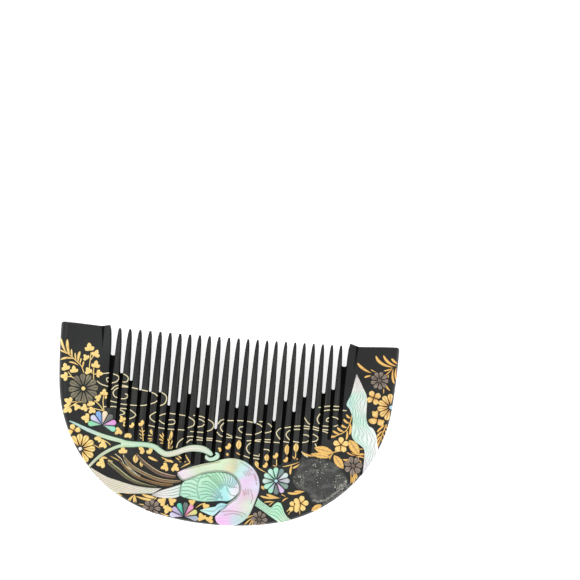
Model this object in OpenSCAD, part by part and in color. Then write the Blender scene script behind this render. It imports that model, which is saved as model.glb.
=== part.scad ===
/* [Comb body] */
// Width across the widest part of the comb
comb_w = 98; // [80:1:120]
// Depth from the spine to the tooth tips
comb_d = 55; // [46:1:66]
// Thickness at the spine
spine_t = 7.2; // [6:0.1:9]
// Thickness where the tooth tips begin to thin out
tip_t = 4.2; // [3.6:0.1:5]
// Radius of the arc along the middle of the spine
back_r = 80; // [70:1:95]
// Radius of the arc along each flank
flank_r = 190; // [150:5:240]
// Radius of the arc at each shoulder, between spine and flank
shoulder_r = 40; // [36:1:44]
// Rounding of the decorated face's rim
face_round = 2.1; // [1:0.1:2.4]
// Rounding of the back face's rim
back_round = 1.7; // [1:0.1:2]
// Rounding of the two outer corners beside the tooth tips
corner_r = 0.8; // [0.4:0.1:1.5]
/* [Teeth] */
// Number of loose teeth between the two guards
teeth = 24; // [16:1:28]
// Distance between the first and the last saw cut
field_w = 66.8; // [56:0.2:70]
// Width of a saw cut at the tooth roots
kerf_w = 0.85; // [0.6:0.05:1]
// Reach of the middle saw cuts on the face, from the spine
root_mid_y = 17; // [13:0.5:20]
// Reach of the outermost saw cuts on the face, from the spine
root_end_y = 32; // [26:0.5:34]
// How much shorter a plain cut is at mid thickness than on the faces
floor_slope = 13; // [9:0.5:14]
// Distance from the spine where the teeth start to thin towards their tips
thin_from = 47.5; // [44:0.5:50]
// Depth taken off each face at the tooth tips
thin_depth = 1.2; // [0.5:0.1:1.4]
// Width of the field that is thinned at the tips
thin_w = 72.8; // [71:0.2:76]
// How far the middle tips stand back from the line of the outer ones
tip_dip = 0.35; // [0:0.05:0.6]
// How far the middle saw cuts stand off to the right at half depth
drift = 0.6; // [0:0.1:0.8]
// Lean of the middle teeth to the right, in degrees
drift_turn = 1; // [0:0.5:1.5]
/* [Inlay] */
// Thickness of the carved shell plates
shell_t = 0.7; // [0.4:0.05:1]
// Thickness of the lead and silver flowers
lead_t = 0.35; // [0.2:0.05:0.5]
// Thickness of the raised gold lacquer flowers and leaves
gold_t = 0.45; // [0.3:0.05:0.6]
// Film of glue between the lacquer and what is set on it
film = 0.04; // [0.03:0.01:0.08]
// Depth of the bare place that a lost inlay has left
scar_depth = 0.35; // [0.2:0.05:0.6]
/* [Hidden] */
$fn = 48;
half_w = comb_w / 2;
half_d = comb_d / 2;
wedge = atan((spine_t - tip_t) / comb_d);
tall = 3 * spine_t;
// The rim radii are held to the thickness at the tips
rim_share = min(1, 0.92 * tip_t / (face_round + back_round));
face_rim = face_round * rim_share;
back_rim = back_round * rim_share;
RIM_TURNS = [0, 22.5, 45, 67.5, 90];
back_steps = 6;
shoulder_steps = 14;
flank_steps = 4;
past = 1;
lean = half_w * 0.3;
trim = 0.005;
edge_inset = 0.06;

// Columns of the tables: places are in hundredths of the half width and of the depth from the spine
AX = 0;
AY = 1;
BX = 2;
BY = 3;
function place(x, y) = [x / 100 * half_w, y / 100 * comb_d - half_d];

// Smooth curve through rows of any length: each row is a station, steps points per stretch
function slope(rows, i) = (rows[min(i + 1, len(rows) - 1)] - rows[max(i - 1, 0)]) / 2;
function between(a, b, ma, mb, t) =
    a * (2 * t * t * t - 3 * t * t + 1) + ma * (t * t * t - 2 * t * t + t)
    + b * (3 * t * t - 2 * t * t * t) + mb * (t * t * t - t * t);
function smooth(rows, steps) = [
    for (i = [0 : len(rows) - 2], k = [0 : steps - 1])
        between(rows[i], rows[i + 1], slope(rows, i), slope(rows, i + 1), k / steps),
    rows[len(rows) - 1]
];
function backwards(points) = [for (i = [len(points) - 1 : -1 : 0]) points[i]];

// Arc centres of the outline on the right half
back_c = [0, back_r - half_d];
flank_c = [half_w - flank_r, half_d];
to_flank = flank_c - back_c;
gap_c = norm(to_flank);
reach_b = back_r - shoulder_r;
reach_f = flank_r - shoulder_r;
along = (reach_b * reach_b - reach_f * reach_f + gap_c * gap_c) / (2 * gap_c);
aside = sqrt(reach_b * reach_b - along * along);
shoulder_c = back_c + to_flank / gap_c * along + [-to_flank[1], to_flank[0]] / gap_c * aside;
from_back = shoulder_c - back_c;
from_flank = shoulder_c - flank_c;
back_turn = atan2(from_back[1], from_back[0]);
flank_turn = atan2(from_flank[1], from_flank[0]);

// Tooth field
pitch = field_w / teeth;
function kerf_x(i) = -field_w / 2 + i * pitch;
function drifted(x, y) = x + (1 - pow(2 * x / field_w, 2)) * (drift + y * tan(drift_turn));
// Pitch of the cuts beside the one at x, which their drift widens on the left and narrows on the right
function pitch_at(x, y) = pitch * (1 - 8 * x / (field_w * field_w) * (drift + y * tan(drift_turn)));
root_rise = root_end_y - root_mid_y;
function root_y(x) = root_mid_y + root_rise * (1 - sqrt(max(0, 1 - pow(x / (field_w / 2 + 1), 2)))) / 0.76 - half_d;
// Slope of each hand-sawn cut's floor, from the left, in hundredths of floor_slope
REACH = [
    110, 105, 110, 105, 115, 125, 105, 120, 145, 120, 130, 80, 145, 130, 135, 95, 135, 95, 135,
    105, 130, 95, 115, 105, 125
];

/* Width of a tooth as a share of its width at the root, by its distance from the spine in
   hundredths of the depth */
TOOTH_SHARE = 1;
TOOTH_TAPER = [
    [60, 1], [68, 1], [77, 0.92], [82, 0.83], [86, 0.75], [90, 0.68], [93, 0.6], [96.3, 0.46],
    [97.8, 0.33], [98.5, 0.18], [98.8, 0.06]
];

// Ruled shapes: points along one edge and the facing points along the other edge
CRANE_BACK = [
    [-24.8, 25.9, -24.1, 25.3], [-21.5, 27.6, -20.9, 22.7], [-16, 29.7, -15.5, 24.4],
    [-10, 31.5, -10, 26.8], [-4, 32.9, -5, 28.1], [2, 34.9, 0, 28.7], [8, 35.6, 4.5, 28.5],
    [14, 34.5, 8.5, 27.2], [19, 31.8, 11.4, 24.7], [22.5, 27.8, 12.9, 22], [24, 23.5, 13.3, 19.7],
    [23.9, 19.5, 12.7, 17.2], [22.9, 16, 11.1, 14.8], [21.7, 12.5, 8.9, 13], [20.6, 9.5, 6.8, 11.3],
    [18.8, 6, 4.7, 9.4], [15.8, 3.1, 2.5, 7.8], [12, 1, 0.8, 6], [7, 0.1, -0.5, 4.4],
    [3.5, 0.2, 0.3, 2.2], [2.4, 0.8, 1, 1.5]
];
CRANE_BILL = [
    [-9.6, 7.4, -9.4, 7], [-7, 8.3, -7, 6.2], [-4, 9.2, -4, 5.3], [-1, 9.8, -1.8, 4.9],
    [0.2, 11, 0.2, 6.4], [2.2, 11.9, 2, 8.1], [4.6, 11.8, 3.9, 9.4], [6, 11.5, 5.6, 11]
];
CRANE_WING = [
    [-21.5, 19.8, -21.8, 14.3], [-20.3, 21.5, -20, 13.4], [-15.5, 23.7, -15.5, 12.6],
    [-10.5, 25.8, -11, 12], [-5, 27.2, -6.5, 12], [0, 27.8, -2, 12.5], [4.5, 27.5, 1.5, 12.9],
    [8.2, 26.2, 4.2, 13], [10.8, 23.8, 6, 13.1], [12.1, 21.5, 7.3, 13.6], [12.4, 19.5, 8.8, 14.5],
    [12, 17.8, 10.3, 15.9]
];
CRANE_PRIMARIES = [
    [-22.2, 19.9, -22.5, 13.5], [-25.5, 18.7, -25.2, 12.6], [-29, 17.5, -29, 12.2],
    [-33, 16.1, -33, 12.2], [-36.3, 14.6, -36.3, 12.6], [-38.6, 13.4, -38.6, 13]
];
CRANE_LEG = [
    [23.7, 16, 22.3, 12], [26.3, 14.2, 24.5, 10.8], [29.5, 12.5, 27.5, 9.3], [31.6, 11.6, 30, 7.9],
    [33.2, 13.2, 32, 6.8], [35.2, 14.6, 33.6, 6], [37.3, 14.2, 35.2, 5.2], [38.6, 12.2, 37, 4],
    [40, 9.3, 39, 3.4], [42, 7.2, 41.5, 3.6], [44.5, 6, 44, 4.2]
];
TAIL_BAND = [
    [-75.3, 25, -78, 21], [-70, 22.6, -72, 15.5], [-65, 20.7, -66, 13], [-60, 19.6, -60, 12.8],
    [-55, 18.5, -54.5, 13.2], [-50, 17.6, -49.5, 13.2], [-45, 17.1, -45, 13.5],
    [-40.5, 16.9, -41.5, 13.8], [-36.5, 17, -39.3, 13.9],
    [-33.2, 17.1, -37.8, 14.1]
];
WATERFALL = [
    [75.7, 84.3, 76, 84.3], [75, 81, 78.2, 81], [74.3, 77.5, 80, 78], [73.2, 73, 82.5, 74],
    [71.2, 68.4, 83.2, 70], [73.2, 65.8, 83.3, 66], [75.2, 62, 83.5, 62], [75.6, 58.5, 85, 58.3],
    [75.4, 55, 88, 56.6], [75.8, 51.8, 90.2, 53], [78, 49.2, 91, 49], [81, 47.6, 92, 45],
    [83.6, 45.3, 92, 41.5], [84.2, 41, 91, 38.5], [84.6, 37, 89, 35.5], [85.4, 34.5, 87, 33.5]
];

/* Strands: points along the middle, with half the width in hundredths of the half width in
   the third column */
HALF_WIDE = 2;
PLUMES = [
    [[-49.5, 34, 0.5], [-47, 31.6, 0.9], [-44, 29.3, 1.2], [-40, 27, 1.3], [-35.5, 25, 1.3],
     [-31, 24, 1.2], [-27, 23.6, 1], [-25.3, 23.7, 0.7]],
    [[-56.6, 31.8, 0.7], [-54, 29.3, 0.9], [-51, 27, 1.1], [-47, 25.2, 1.1], [-42, 23.4, 1.1],
     [-37, 21.9, 1.1], [-32, 21.2, 1.1], [-27, 21.1, 1], [-23.2, 21.5, 0.6], [-22.1, 21.7, 0.3]],
    [[-59.5, 29.8, 0.4], [-57, 28, 0.6], [-54, 25.4, 0.8], [-51, 23.4, 0.8], [-47.5, 21.9, 0.9],
     [-43, 20.7, 0.8], [-38, 19.7, 0.9], [-33, 19.1, 0.9], [-29, 19.1, 0.8], [-26.4, 19.6, 0.4]],
    [[-65.5, 28.6, 1.2], [-63, 27, 1.3], [-59, 24.6, 1.3], [-55, 22.1, 1.3], [-51, 20.2, 1.1],
     [-46.5, 18.9, 0.9], [-42, 18.2, 0.6], [-38, 17.8, 0.4], [-35.8, 17.6, 0.2]]
];
RIBBON_MAIN = [
    [-5, 36.3, 0.8], [-6.6, 37.4, 1.5], [-10, 38.9, 1.9], [-14, 39.3, 2], [-18, 39, 1.9],
    [-22, 37.9, 1.7], [-26, 36.3, 1.7], [-30, 35.2, 1.7], [-33, 35.2, 1.7], [-36, 36.5, 1.7],
    [-39, 38.2, 1.6], [-43, 39, 1.5], [-48, 39, 1.5], [-53, 38.7, 1.8], [-59, 38.8, 2.2]
];
RIBBON_UPPER = [
    [-55, 39.2, 1.2], [-60, 40.2, 1.3], [-65, 40.9, 1.5], [-70, 42, 1.4], [-75, 43.3, 1.3],
    [-80, 44.8, 1.1], [-85, 46.6, 0.8], [-88, 47.7, 0.6], [-90.3, 48.3, 0.3]
];
RIBBON_LOWER = [
    [-55, 38.2, 1.2], [-60, 36.9, 1.2], [-65, 34.7, 1.3], [-70, 31.7, 1.2], [-73, 29.2, 1.1],
    [-75.5, 26.6, 1], [-78, 23.6, 0.9]
];
RIBBON_KNOT = [
    [-8.6, 36.1, 0.5], [-8.1, 34.8, 1], [-6.3, 34.2, 0.8], [-4.2, 34.6, 0.9], [-2.4, 35.6, 1.3],
    [-2.1, 36.9, 1.1], [-3.3, 37.9, 0.4]
];

// Edge of the bare place, open where it runs over the rim
SCAR = [
    [62.5, 14], [62, 15.9], [60.3, 16.7], [57, 16.3], [55.4, 15.8], [53.8, 18.4], [52, 21],
    [50, 22], [47.5, 21.9], [45.5, 23.1], [44, 24.9], [43.3, 27.2], [43.6, 30], [44.5, 32.6],
    [46, 34.8], [48, 38], [52, 38.8], [57, 38.7], [62, 38.5], [66, 37.4], [69.5, 35.2],
    [72.4, 33], [74.3, 30.5], [75.6, 27.5], [78, 25.5]
];

/* Flowers: middle place, radius in hundredths of bloom, number of petals, the turn of the first,
   the range that they fill, and how much of their share of it each one fills */
bloom = min(half_w, 0.89 * comb_d);
FX = 0;
FY = 1;
SIZE = 2;
COUNT = 3;
TURN = 4;
SPAN = 5;
WIDE = 6;
function radius(f) = f[SIZE] / 100 * bloom;
SHELL_LEFT = [-70.8, 47.6, 8.4, 7, -16, 194, 0.8];
SHELL_RIGHT = [33.5, 25.6, 8, 12, 5, 330, 0.82];
SHELL_LOW = [-18.8, 3.4, 8.4, 7, -4, 180, 0.78];
LEAD_LEFT = [-83.6, 65.8, 8.8, 12, 8, 330, 0.95];
LEAD_TOP = [89.5, 82, 5.3, 9, 0, 320, 0.75];
LEAD_RIGHT = [77.9, 36.6, 5.3, 7, 10, 309, 0.8];
LEAD_LOW_LEFT = [-38, 6.4, 5.3, 8, 0, 315, 0.8];
LEAD_LOW_RIGHT = [25.4, 5, 4.6, 8, 0, 315, 0.75];
MUM_LEFT = [-82.5, 34.3, 8.8, 7, -58, 186, 0.95];
MUM_RIGHT = [97.4, 68.5, 8, 6, 98, 155, 0.95];
BLOSSOM_RIM = [-87.2, 43.4, 3.9, 3, 18, 185, 0.75];
BLOSSOM_TOP = [86.9, 72.8, 3.7, 4, 30, 270, 0.6];
BLOSSOM_MID = [90.2, 62.2, 4.3, 3, 128, 180, 0.7];
BLOSSOM_RIGHT = [69.8, 46.9, 4.3, 5, 20, 288, 0.7];
BLOSSOM_LOW = [[49, 14.9, 4.3, 5, 10, 288, 0.7], [45.3, 12.9, 3.7, 4, 40, 270, 0.8]];

// Leaves: root, tip and half the width in hundredths of the half width
LEAVES = [
    [74.4, 49.8, 80.6, 43.2, 2.3], [54.2, 44.4, 65.2, 42.6, 1.9], [52.6, 41, 64.6, 40.3, 1.1],
    [66.2, 40.9, 71.6, 35.8, 1.7], [55.4, 11.4, 61.4, 15.2, 1.5], [78.4, 27, 79.4, 33.2, 1]
];

/* The outline, grown outwards: from the middle of the spine up the right side to a little past
   the tips, and back down the left side */
function arc(centre, radius, from, to, steps) = [
    for (k = [1 : steps])
        let (turn = from + (to - from) * k / steps)
        centre + radius * [cos(turn), sin(turn)]
];
function right_side(grow) = concat(
    arc(back_c, back_r + grow, -90, back_turn, back_steps),
    arc(shoulder_c, shoulder_r + grow, back_turn, flank_turn, shoulder_steps),
    arc(flank_c, flank_r + grow, flank_turn, 0, flank_steps),
    [[half_w + grow, half_d + past]]
);
function outline(grow) = concat(
    [[0, -half_d - grow]],
    right_side(grow),
    [for (p = backwards(right_side(grow))) [-p[0], p[1]]]
);
// One side of it, 1 for the right and -1 for the left, closed a little beyond the middle
function half_outline(grow, side) =
    let (right = concat(
        [[-lean, -half_d - grow], [0, -half_d - grow]],
        right_side(grow),
        [[-lean, half_d + past]]
    ))
    side == 1 ? right : [for (p = backwards(right)) [-p[0], p[1]]];

// Rings of points around the rounded rims, by the turn of the rounding from the side
function back_ring(turn) = [
    for (p = outline(back_rim * (cos(turn) - 1))) [p[0], p[1], back_rim * (1 - sin(turn))]
];
function face_inset(turn, grow) = (face_rim + grow) * cos(turn) - face_rim;
function on_face(points, lift) = [
    for (p = points) [p[0], p[1], spine_t - (p[1] + half_d) * tan(wedge) + lift]
];
function face_lift(turn, grow) = (face_rim + grow) * sin(turn) - face_rim;

// One closed skin over a stack of rings
module skin(rings) {
    count = len(rings[0]);
    last = len(rings) - 1;
    polyhedron(
        points = [for (ring = rings) each ring],
        faces = concat(
            [[for (i = [0 : count - 1]) i]],
            [for (k = [0 : last - 1], i = [0 : count - 1])
                [k * count + i, (k + 1) * count + i, (k + 1) * count + (i + 1) % count]],
            [for (k = [0 : last - 1], i = [0 : count - 1])
                [k * count + i, (k + 1) * count + (i + 1) % count, k * count + (i + 1) % count]],
            [[for (i = [count - 1 : -1 : 0]) last * count + i]]
        )
    );
}
// Cuts what is drawn level with the sloping face
module level(lift) {
    intersection() {
        children();
        on_slope()
            translate([-comb_w, -comb_d, lift - trim - 2 * tall])
                cube([2 * comb_w, 2 * comb_d, 2 * tall]);
    }
}
module slab() {
    level(0)
        skin(concat(
            [for (turn = backwards(RIM_TURNS)) back_ring(turn)],
            [for (turn = RIM_TURNS) on_face(outline(face_inset(turn, 0)), face_lift(turn, 0))]
        ));
}
/* What lies under one side of the face and its rounded rim, both grown outwards, down to drop
   below the rim */
module under_face(side, grow, drop) {
    level(grow)
        skin(concat(
            [on_face(half_outline(grow, side), -face_rim - drop)],
            [for (turn = RIM_TURNS)
                on_face(half_outline(face_inset(turn, grow), side), face_lift(turn, grow))]
        ));
}

// Lays what is drawn at height 0 on the sloping face
module on_slope() {
    translate([0, -half_d, spine_t])
        rotate([-wedge, 0, 0])
            translate([0, half_d, 0])
                children();
}

// A plate of a given thickness on the flat of the face
module flat_plate(thick) {
    on_slope()
        translate([0, 0, film])
            linear_extrude(thick)
                children();
}
// A plate of a given thickness that follows one side of the face over its rounded rim
module rim_plate(side, thick) {
    difference() {
        intersection() {
            linear_extrude(tall)
                intersection() {
                    union()
                        children();
                    polygon(outline(-edge_inset));
                }
            under_face(side, film + thick, 0.5);
        }
        under_face(side, film, 1);
    }
}

// Outlines
module ruled(rows) {
    even = smooth(rows, 3);
    polygon(concat(
        [for (r = even) place(r[AX], r[AY])],
        [for (r = backwards(even)) place(r[BX], r[BY])]
    ));
}
function across(points, i) =
    let (a = points[max(i - 1, 0)], b = points[min(i + 1, len(points) - 1)],
        way = place(b[AX], b[AY]) - place(a[AX], a[AY]))
    [-way[1], way[0]] / norm(way);
module strand(rows) {
    even = smooth(rows, 3);
    last = len(even) - 1;
    function edge(i, side) = place(even[i][AX], even[i][AY])
        + side * even[i][HALF_WIDE] / 100 * half_w * across(even, i);
    polygon(concat(
        [for (i = [0 : last]) edge(i, 1)],
        [for (i = [last : -1 : 0]) edge(i, -1)]
    ));
}
// A petal along x, from its narrow root to its round end
module petal(start, end, half) {
    middle = end - half;
    bare = 90 + asin(half / (middle - start));
    polygon(concat(
        [[start, 0]],
        [for (k = [-petal_steps : petal_steps])
            [middle + half * cos(bare * k / petal_steps), half * sin(bare * k / petal_steps)]]
    ));
}
// Petals that fill their share of the circle touch a thin gap; the last column narrows them
petal_steps = 5;
petal_gap = 0.14;
function petal_half(f) =
    let (s = sin(min(f[SPAN] / (f[COUNT] - 1), 90) / 2))
    (radius(f) * s - petal_gap / 2) / (1 + s) * f[WIDE];
module flower(f, start_share = 0.1) {
    translate(place(f[FX], f[FY]))
        for (k = [0 : f[COUNT] - 1])
            rotate(f[TURN] + f[SPAN] * k / (f[COUNT] - 1))
                petal(radius(f) * start_share, radius(f), petal_half(f));
}
// The round middle of a flower, its radius in hundredths of bloom
module heart(f, share) {
    translate(place(f[FX], f[FY]))
        circle(share / 100 * bloom, $fn = 24);
}
module leaf(row) {
    root = place(row[0], row[1]);
    tip = place(row[2], row[3]);
    long = norm(tip - root);
    half = row[4] / 100 * half_w;
    bend_r = (long * long / 4 + half * half) / (2 * half);
    translate((root + tip) / 2)
        rotate(atan2(tip[1] - root[1], tip[0] - root[0]))
            intersection() {
                translate([0, bend_r - half])
                    circle(bend_r, $fn = 64);
                translate([0, half - bend_r])
                    circle(bend_r, $fn = 64);
            }
}

// Saw cuts and tooth tips. The tips stand along a slightly hollow line.
function gap_half(row, x, y) = (pitch_at(x, y) - (pitch_at(x, y) - kerf_w) * row[TOOTH_SHARE]) / 2;
function dip(x) = tip_dip * (1 - pow(2 * x / field_w, 2));
function taper_y(row, x) = row[AX] / 100 * comb_d - half_d - dip(x) * (row[AX] - 60) / 40;
module gap_plan(x) {
    wide = pitch / 2 + 0.15;
    end = taper_y(TOOTH_TAPER[len(TOOTH_TAPER) - 1], x);
    right = concat(
        [[kerf_w / 2, -comb_d]],
        [for (row = TOOTH_TAPER) let (y = taper_y(row, x)) [gap_half(row, x, y), y]],
        [[wide, end], [wide, comb_d]]
    );
    polygon(concat(
        [for (p = right) [drifted(x, p[1]) + p[0], p[1]]],
        [for (p = backwards(right)) [drifted(x, p[1]) - p[0], p[1]]]
    ));
}
module saw_cut(i) {
    x = kerf_x(i);
    y = root_y(x);
    reach = floor_slope * REACH[i % len(REACH)] / 100;
    top = spine_t - (y + half_d) * tan(wedge);
    ridge = top / 2 - reach * tan(wedge) / 2;
    rise = (top - ridge) / reach;
    over = 1.5;
    intersection() {
        translate([0, 0, -tall / 2])
            linear_extrude(2 * tall)
                gap_plan(x);
        translate([x - pitch, 0, 0])
            rotate([90, 0, 90])
                linear_extrude(2 * pitch)
                    polygon([
                        [y + reach, ridge], [y - over, top + rise * over],
                        [y - over, top + spine_t], [comb_d, top + spine_t], [comb_d, -spine_t],
                        [y - over, -spine_t], [y - over, -ridge / reach * over]
                    ]);
    }
}
module tip_bevels() {
    long = comb_d;
    drop = thin_depth / (comb_d - thin_from);
    start = thin_from - half_d;
    translate([-thin_w / 2, 0, 0])
        rotate([90, 0, 90])
            linear_extrude(thin_w)
                polygon([[start, 0], [start + long, drop * long], [start + long, -tall], [start, -tall]]);
    on_slope()
        translate([-thin_w / 2, 0, 0])
            rotate([90, 0, 90])
                linear_extrude(thin_w)
                    polygon([[start, 0], [start + long, -drop * long], [start + long, tall], [start, tall]]);
}
// Trims the outer corners beside the tips, one at a time
module corner_cut(side) {
    mirror([side, 0, 0])
        translate([half_w - corner_r, half_d - corner_r, -tall])
            linear_extrude(3 * tall)
                difference() {
                    square(2 * corner_r);
                    circle(corner_r);
                }
}
module top_trim() {
    drop = 0.8;
    translate([0, half_d, -tall])
        linear_extrude(3 * tall)
            for (side = [0, 1])
                mirror([side, 0])
                    polygon([
                        [half_w, 0], [half_w - 2 * corner_r, 0], [thin_w / 2, -drop],
                        [0, -drop / 2], [0, comb_d], [half_w, comb_d]
                    ]);
}
// The bare place: it goes scar_depth into the face and into the upper half of the rim
module scar() {
    difference() {
        translate([0, 0, spine_t / 2])
            linear_extrude(tall)
                polygon([for (p = SCAR) place(p[AX], p[AY])]);
        under_face(1, -scar_depth, spine_t);
    }
}

module comb_body() {
    color("#221f1f")
        difference() {
            slab();
            for (i = [0 : teeth])
                saw_cut(i);
            tip_bevels();
            for (side = [0, 1])
                corner_cut(side);
            top_trim();
            scar();
        }
}
module crane_back() {
    color("#efe6dc") rim_plate(1, shell_t) ruled(CRANE_BACK);
}
module crane_bill() {
    color("#cdeff0") flat_plate(shell_t) ruled(CRANE_BILL);
}
module crane_wing() {
    color("#c6efd6") flat_plate(shell_t) ruled(CRANE_WING);
}
module crane_primaries() {
    color("#eef0ee") flat_plate(shell_t) ruled(CRANE_PRIMARIES);
}
module crane_leg() {
    color("#b8ecd2") rim_plate(1, shell_t) ruled(CRANE_LEG);
}
module tail_band() {
    color("#e9e2d2") rim_plate(-1, shell_t) ruled(TAIL_BAND);
}
module tail_plume(i) {
    color(i == 3 ? "#9c9a62" : "#94704e") flat_plate(shell_t) strand(PLUMES[i]);
}
module tail_plume_1() {
    tail_plume(0);
}
module tail_plume_2() {
    tail_plume(1);
}
module tail_plume_3() {
    tail_plume(2);
}
module tail_plume_4() {
    tail_plume(3);
}
module ribbon() {
    color("#dcefe2")
        rim_plate(-1, shell_t) {
            strand(RIBBON_MAIN);
            strand(RIBBON_UPPER);
            strand(RIBBON_LOWER);
        }
}
module ribbon_knot() {
    color("#dcefe2") flat_plate(shell_t) strand(RIBBON_KNOT);
}
module waterfall() {
    color("#e6efe9") rim_plate(1, shell_t) ruled(WATERFALL);
}
module shell_flower_left() {
    color("#b9c7e6") flat_plate(shell_t) flower(SHELL_LEFT, 0.2);
}
module shell_flower_right() {
    color("#bcd9cf") flat_plate(shell_t) flower(SHELL_RIGHT, 0.25);
}
module shell_flower_low() {
    color("#c9bfe0") rim_plate(-1, shell_t) flower(SHELL_LOW, 0.2);
}
module shell_flower_heart() {
    color("#dfe6f2") flat_plate(shell_t) heart(SHELL_RIGHT, 1);
}
module lead_flower_left() {
    color("#6a6a60") flat_plate(lead_t) flower(LEAD_LEFT, 0.2);
}
module lead_flower_heart() {
    color("#ead9a0") flat_plate(gold_t) heart(LEAD_LEFT, 1.2);
}
module lead_flower_top() {
    color("#5f5048") flat_plate(lead_t) flower(LEAD_TOP);
}
module lead_flower_right() {
    color("#6c5f55") rim_plate(1, lead_t) flower(LEAD_RIGHT);
}
module lead_flower_low_left() {
    color("#625d53") rim_plate(-1, lead_t) flower(LEAD_LOW_LEFT);
}
module lead_flower_low_right() {
    color("#5a5048") rim_plate(1, lead_t) flower(LEAD_LOW_RIGHT);
}
module gold_mum_left() {
    color("#d9bb74") rim_plate(-1, gold_t) flower(MUM_LEFT, 0.2);
}
module gold_mum_right() {
    color("#dfae62") rim_plate(1, gold_t) flower(MUM_RIGHT, 0.2);
}
module mum_pearl_left() {
    color("#e8e2ee") rim_plate(-1, shell_t) heart(MUM_LEFT, 1.1);
}
module mum_pearl_right() {
    color("#9fd6e2") rim_plate(1, shell_t) heart(MUM_RIGHT, 1.1);
}
module gold_blossom_rim() {
    color("#e3cb86") rim_plate(-1, gold_t) flower(BLOSSOM_RIM);
}
module gold_blossom_top() {
    color("#e2b468") flat_plate(gold_t) flower(BLOSSOM_TOP);
}
module gold_blossom_mid() {
    color("#e2b060") flat_plate(gold_t) flower(BLOSSOM_MID);
}
module gold_blossom_right() {
    color("#e4c473") flat_plate(gold_t) flower(BLOSSOM_RIGHT);
}
module gold_blossom_low() {
    color("#e2bd68")
        rim_plate(1, gold_t)
            for (f = BLOSSOM_LOW)
                flower(f);
}
module gold_leaves() {
    color("#e6c36c")
        rim_plate(1, gold_t)
            for (row = LEAVES)
                leaf(row);
}

comb_body();
crane_back();
crane_bill();
crane_wing();
crane_primaries();
crane_leg();
tail_band();
tail_plume_1();
tail_plume_2();
tail_plume_3();
tail_plume_4();
ribbon();
ribbon_knot();
waterfall();
shell_flower_left();
shell_flower_right();
shell_flower_low();
shell_flower_heart();
lead_flower_left();
lead_flower_heart();
lead_flower_top();
lead_flower_right();
lead_flower_low_left();
lead_flower_low_right();
gold_mum_left();
gold_mum_right();
mum_pearl_left();
mum_pearl_right();
gold_blossom_rim();
gold_blossom_top();
gold_blossom_mid();
gold_blossom_right();
gold_blossom_low();
gold_leaves();
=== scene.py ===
import bmesh
import bpy
import numpy as np
from bpy.props import FloatProperty, FloatVectorProperty, IntProperty, PointerProperty
from bpy.types import Operator, Panel, PropertyGroup
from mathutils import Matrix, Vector


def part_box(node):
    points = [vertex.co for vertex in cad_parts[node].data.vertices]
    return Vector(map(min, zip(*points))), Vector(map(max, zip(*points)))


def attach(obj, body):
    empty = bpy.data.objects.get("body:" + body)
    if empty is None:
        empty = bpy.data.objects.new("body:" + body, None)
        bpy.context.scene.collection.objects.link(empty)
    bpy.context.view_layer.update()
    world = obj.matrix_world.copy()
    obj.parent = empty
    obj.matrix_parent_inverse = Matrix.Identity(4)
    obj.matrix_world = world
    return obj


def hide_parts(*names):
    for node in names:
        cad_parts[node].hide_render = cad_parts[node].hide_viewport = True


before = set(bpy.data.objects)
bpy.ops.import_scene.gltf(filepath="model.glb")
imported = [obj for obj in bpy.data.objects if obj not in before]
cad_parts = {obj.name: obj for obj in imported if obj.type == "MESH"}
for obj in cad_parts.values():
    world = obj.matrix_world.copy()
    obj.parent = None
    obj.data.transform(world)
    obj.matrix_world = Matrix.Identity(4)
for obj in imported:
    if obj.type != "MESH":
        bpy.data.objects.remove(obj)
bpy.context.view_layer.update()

bl_info = {
    "name": "Kushi comb",
    "version": (1, 0, 0),
    "blender": (4, 5, 0),
    "location": "3D View > Sidebar > Kushi comb",
    "description": "Half-moon hair comb in black lacquer with carved shell, lead and raised gold",
    "category": "Add Mesh",
}

MM = 0.001
BODY_LOW, BODY_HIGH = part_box("comb_body")
HALF_WIDE = (BODY_HIGH.x - BODY_LOW.x) / 2 / MM
DEPTH = (BODY_HIGH.y - BODY_LOW.y) / MM
HALF_DEEP = DEPTH / 2

# Places on the comb are pairs in hundredths of the half width, from the middle, and in hundredths
# of the depth, from the spine.
SHARE = np.array([HALF_WIDE / 100, DEPTH / 100])


def place(points):
    """Places on the comb turned into millimetres."""
    return np.asarray(points, float)[..., :2] * SHARE + (0, -HALF_DEEP)


# ---- Sizes and colours ----


def length(name, description, value, low, high):
    """A size in millimetres as a property of the add-on."""
    return FloatProperty(name=name, description=description, default=value, min=low, max=high, precision=3)


def tone(name, description, value):
    """A colour, given as its hex code, as a property of the add-on."""
    return FloatVectorProperty(name=name, description=description, default=linear(value), subtype="COLOR",
                               size=3, min=0, max=1)


def linear(code):
    """The linear values of a colour's hex code."""
    shown = np.array([int(code[i : i + 2], 16) for i in (1, 3, 5)]) / 255
    return tuple(np.where(shown <= 0.04045, shown / 12.92, ((shown + 0.055) / 1.055) ** 2.4))


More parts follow.
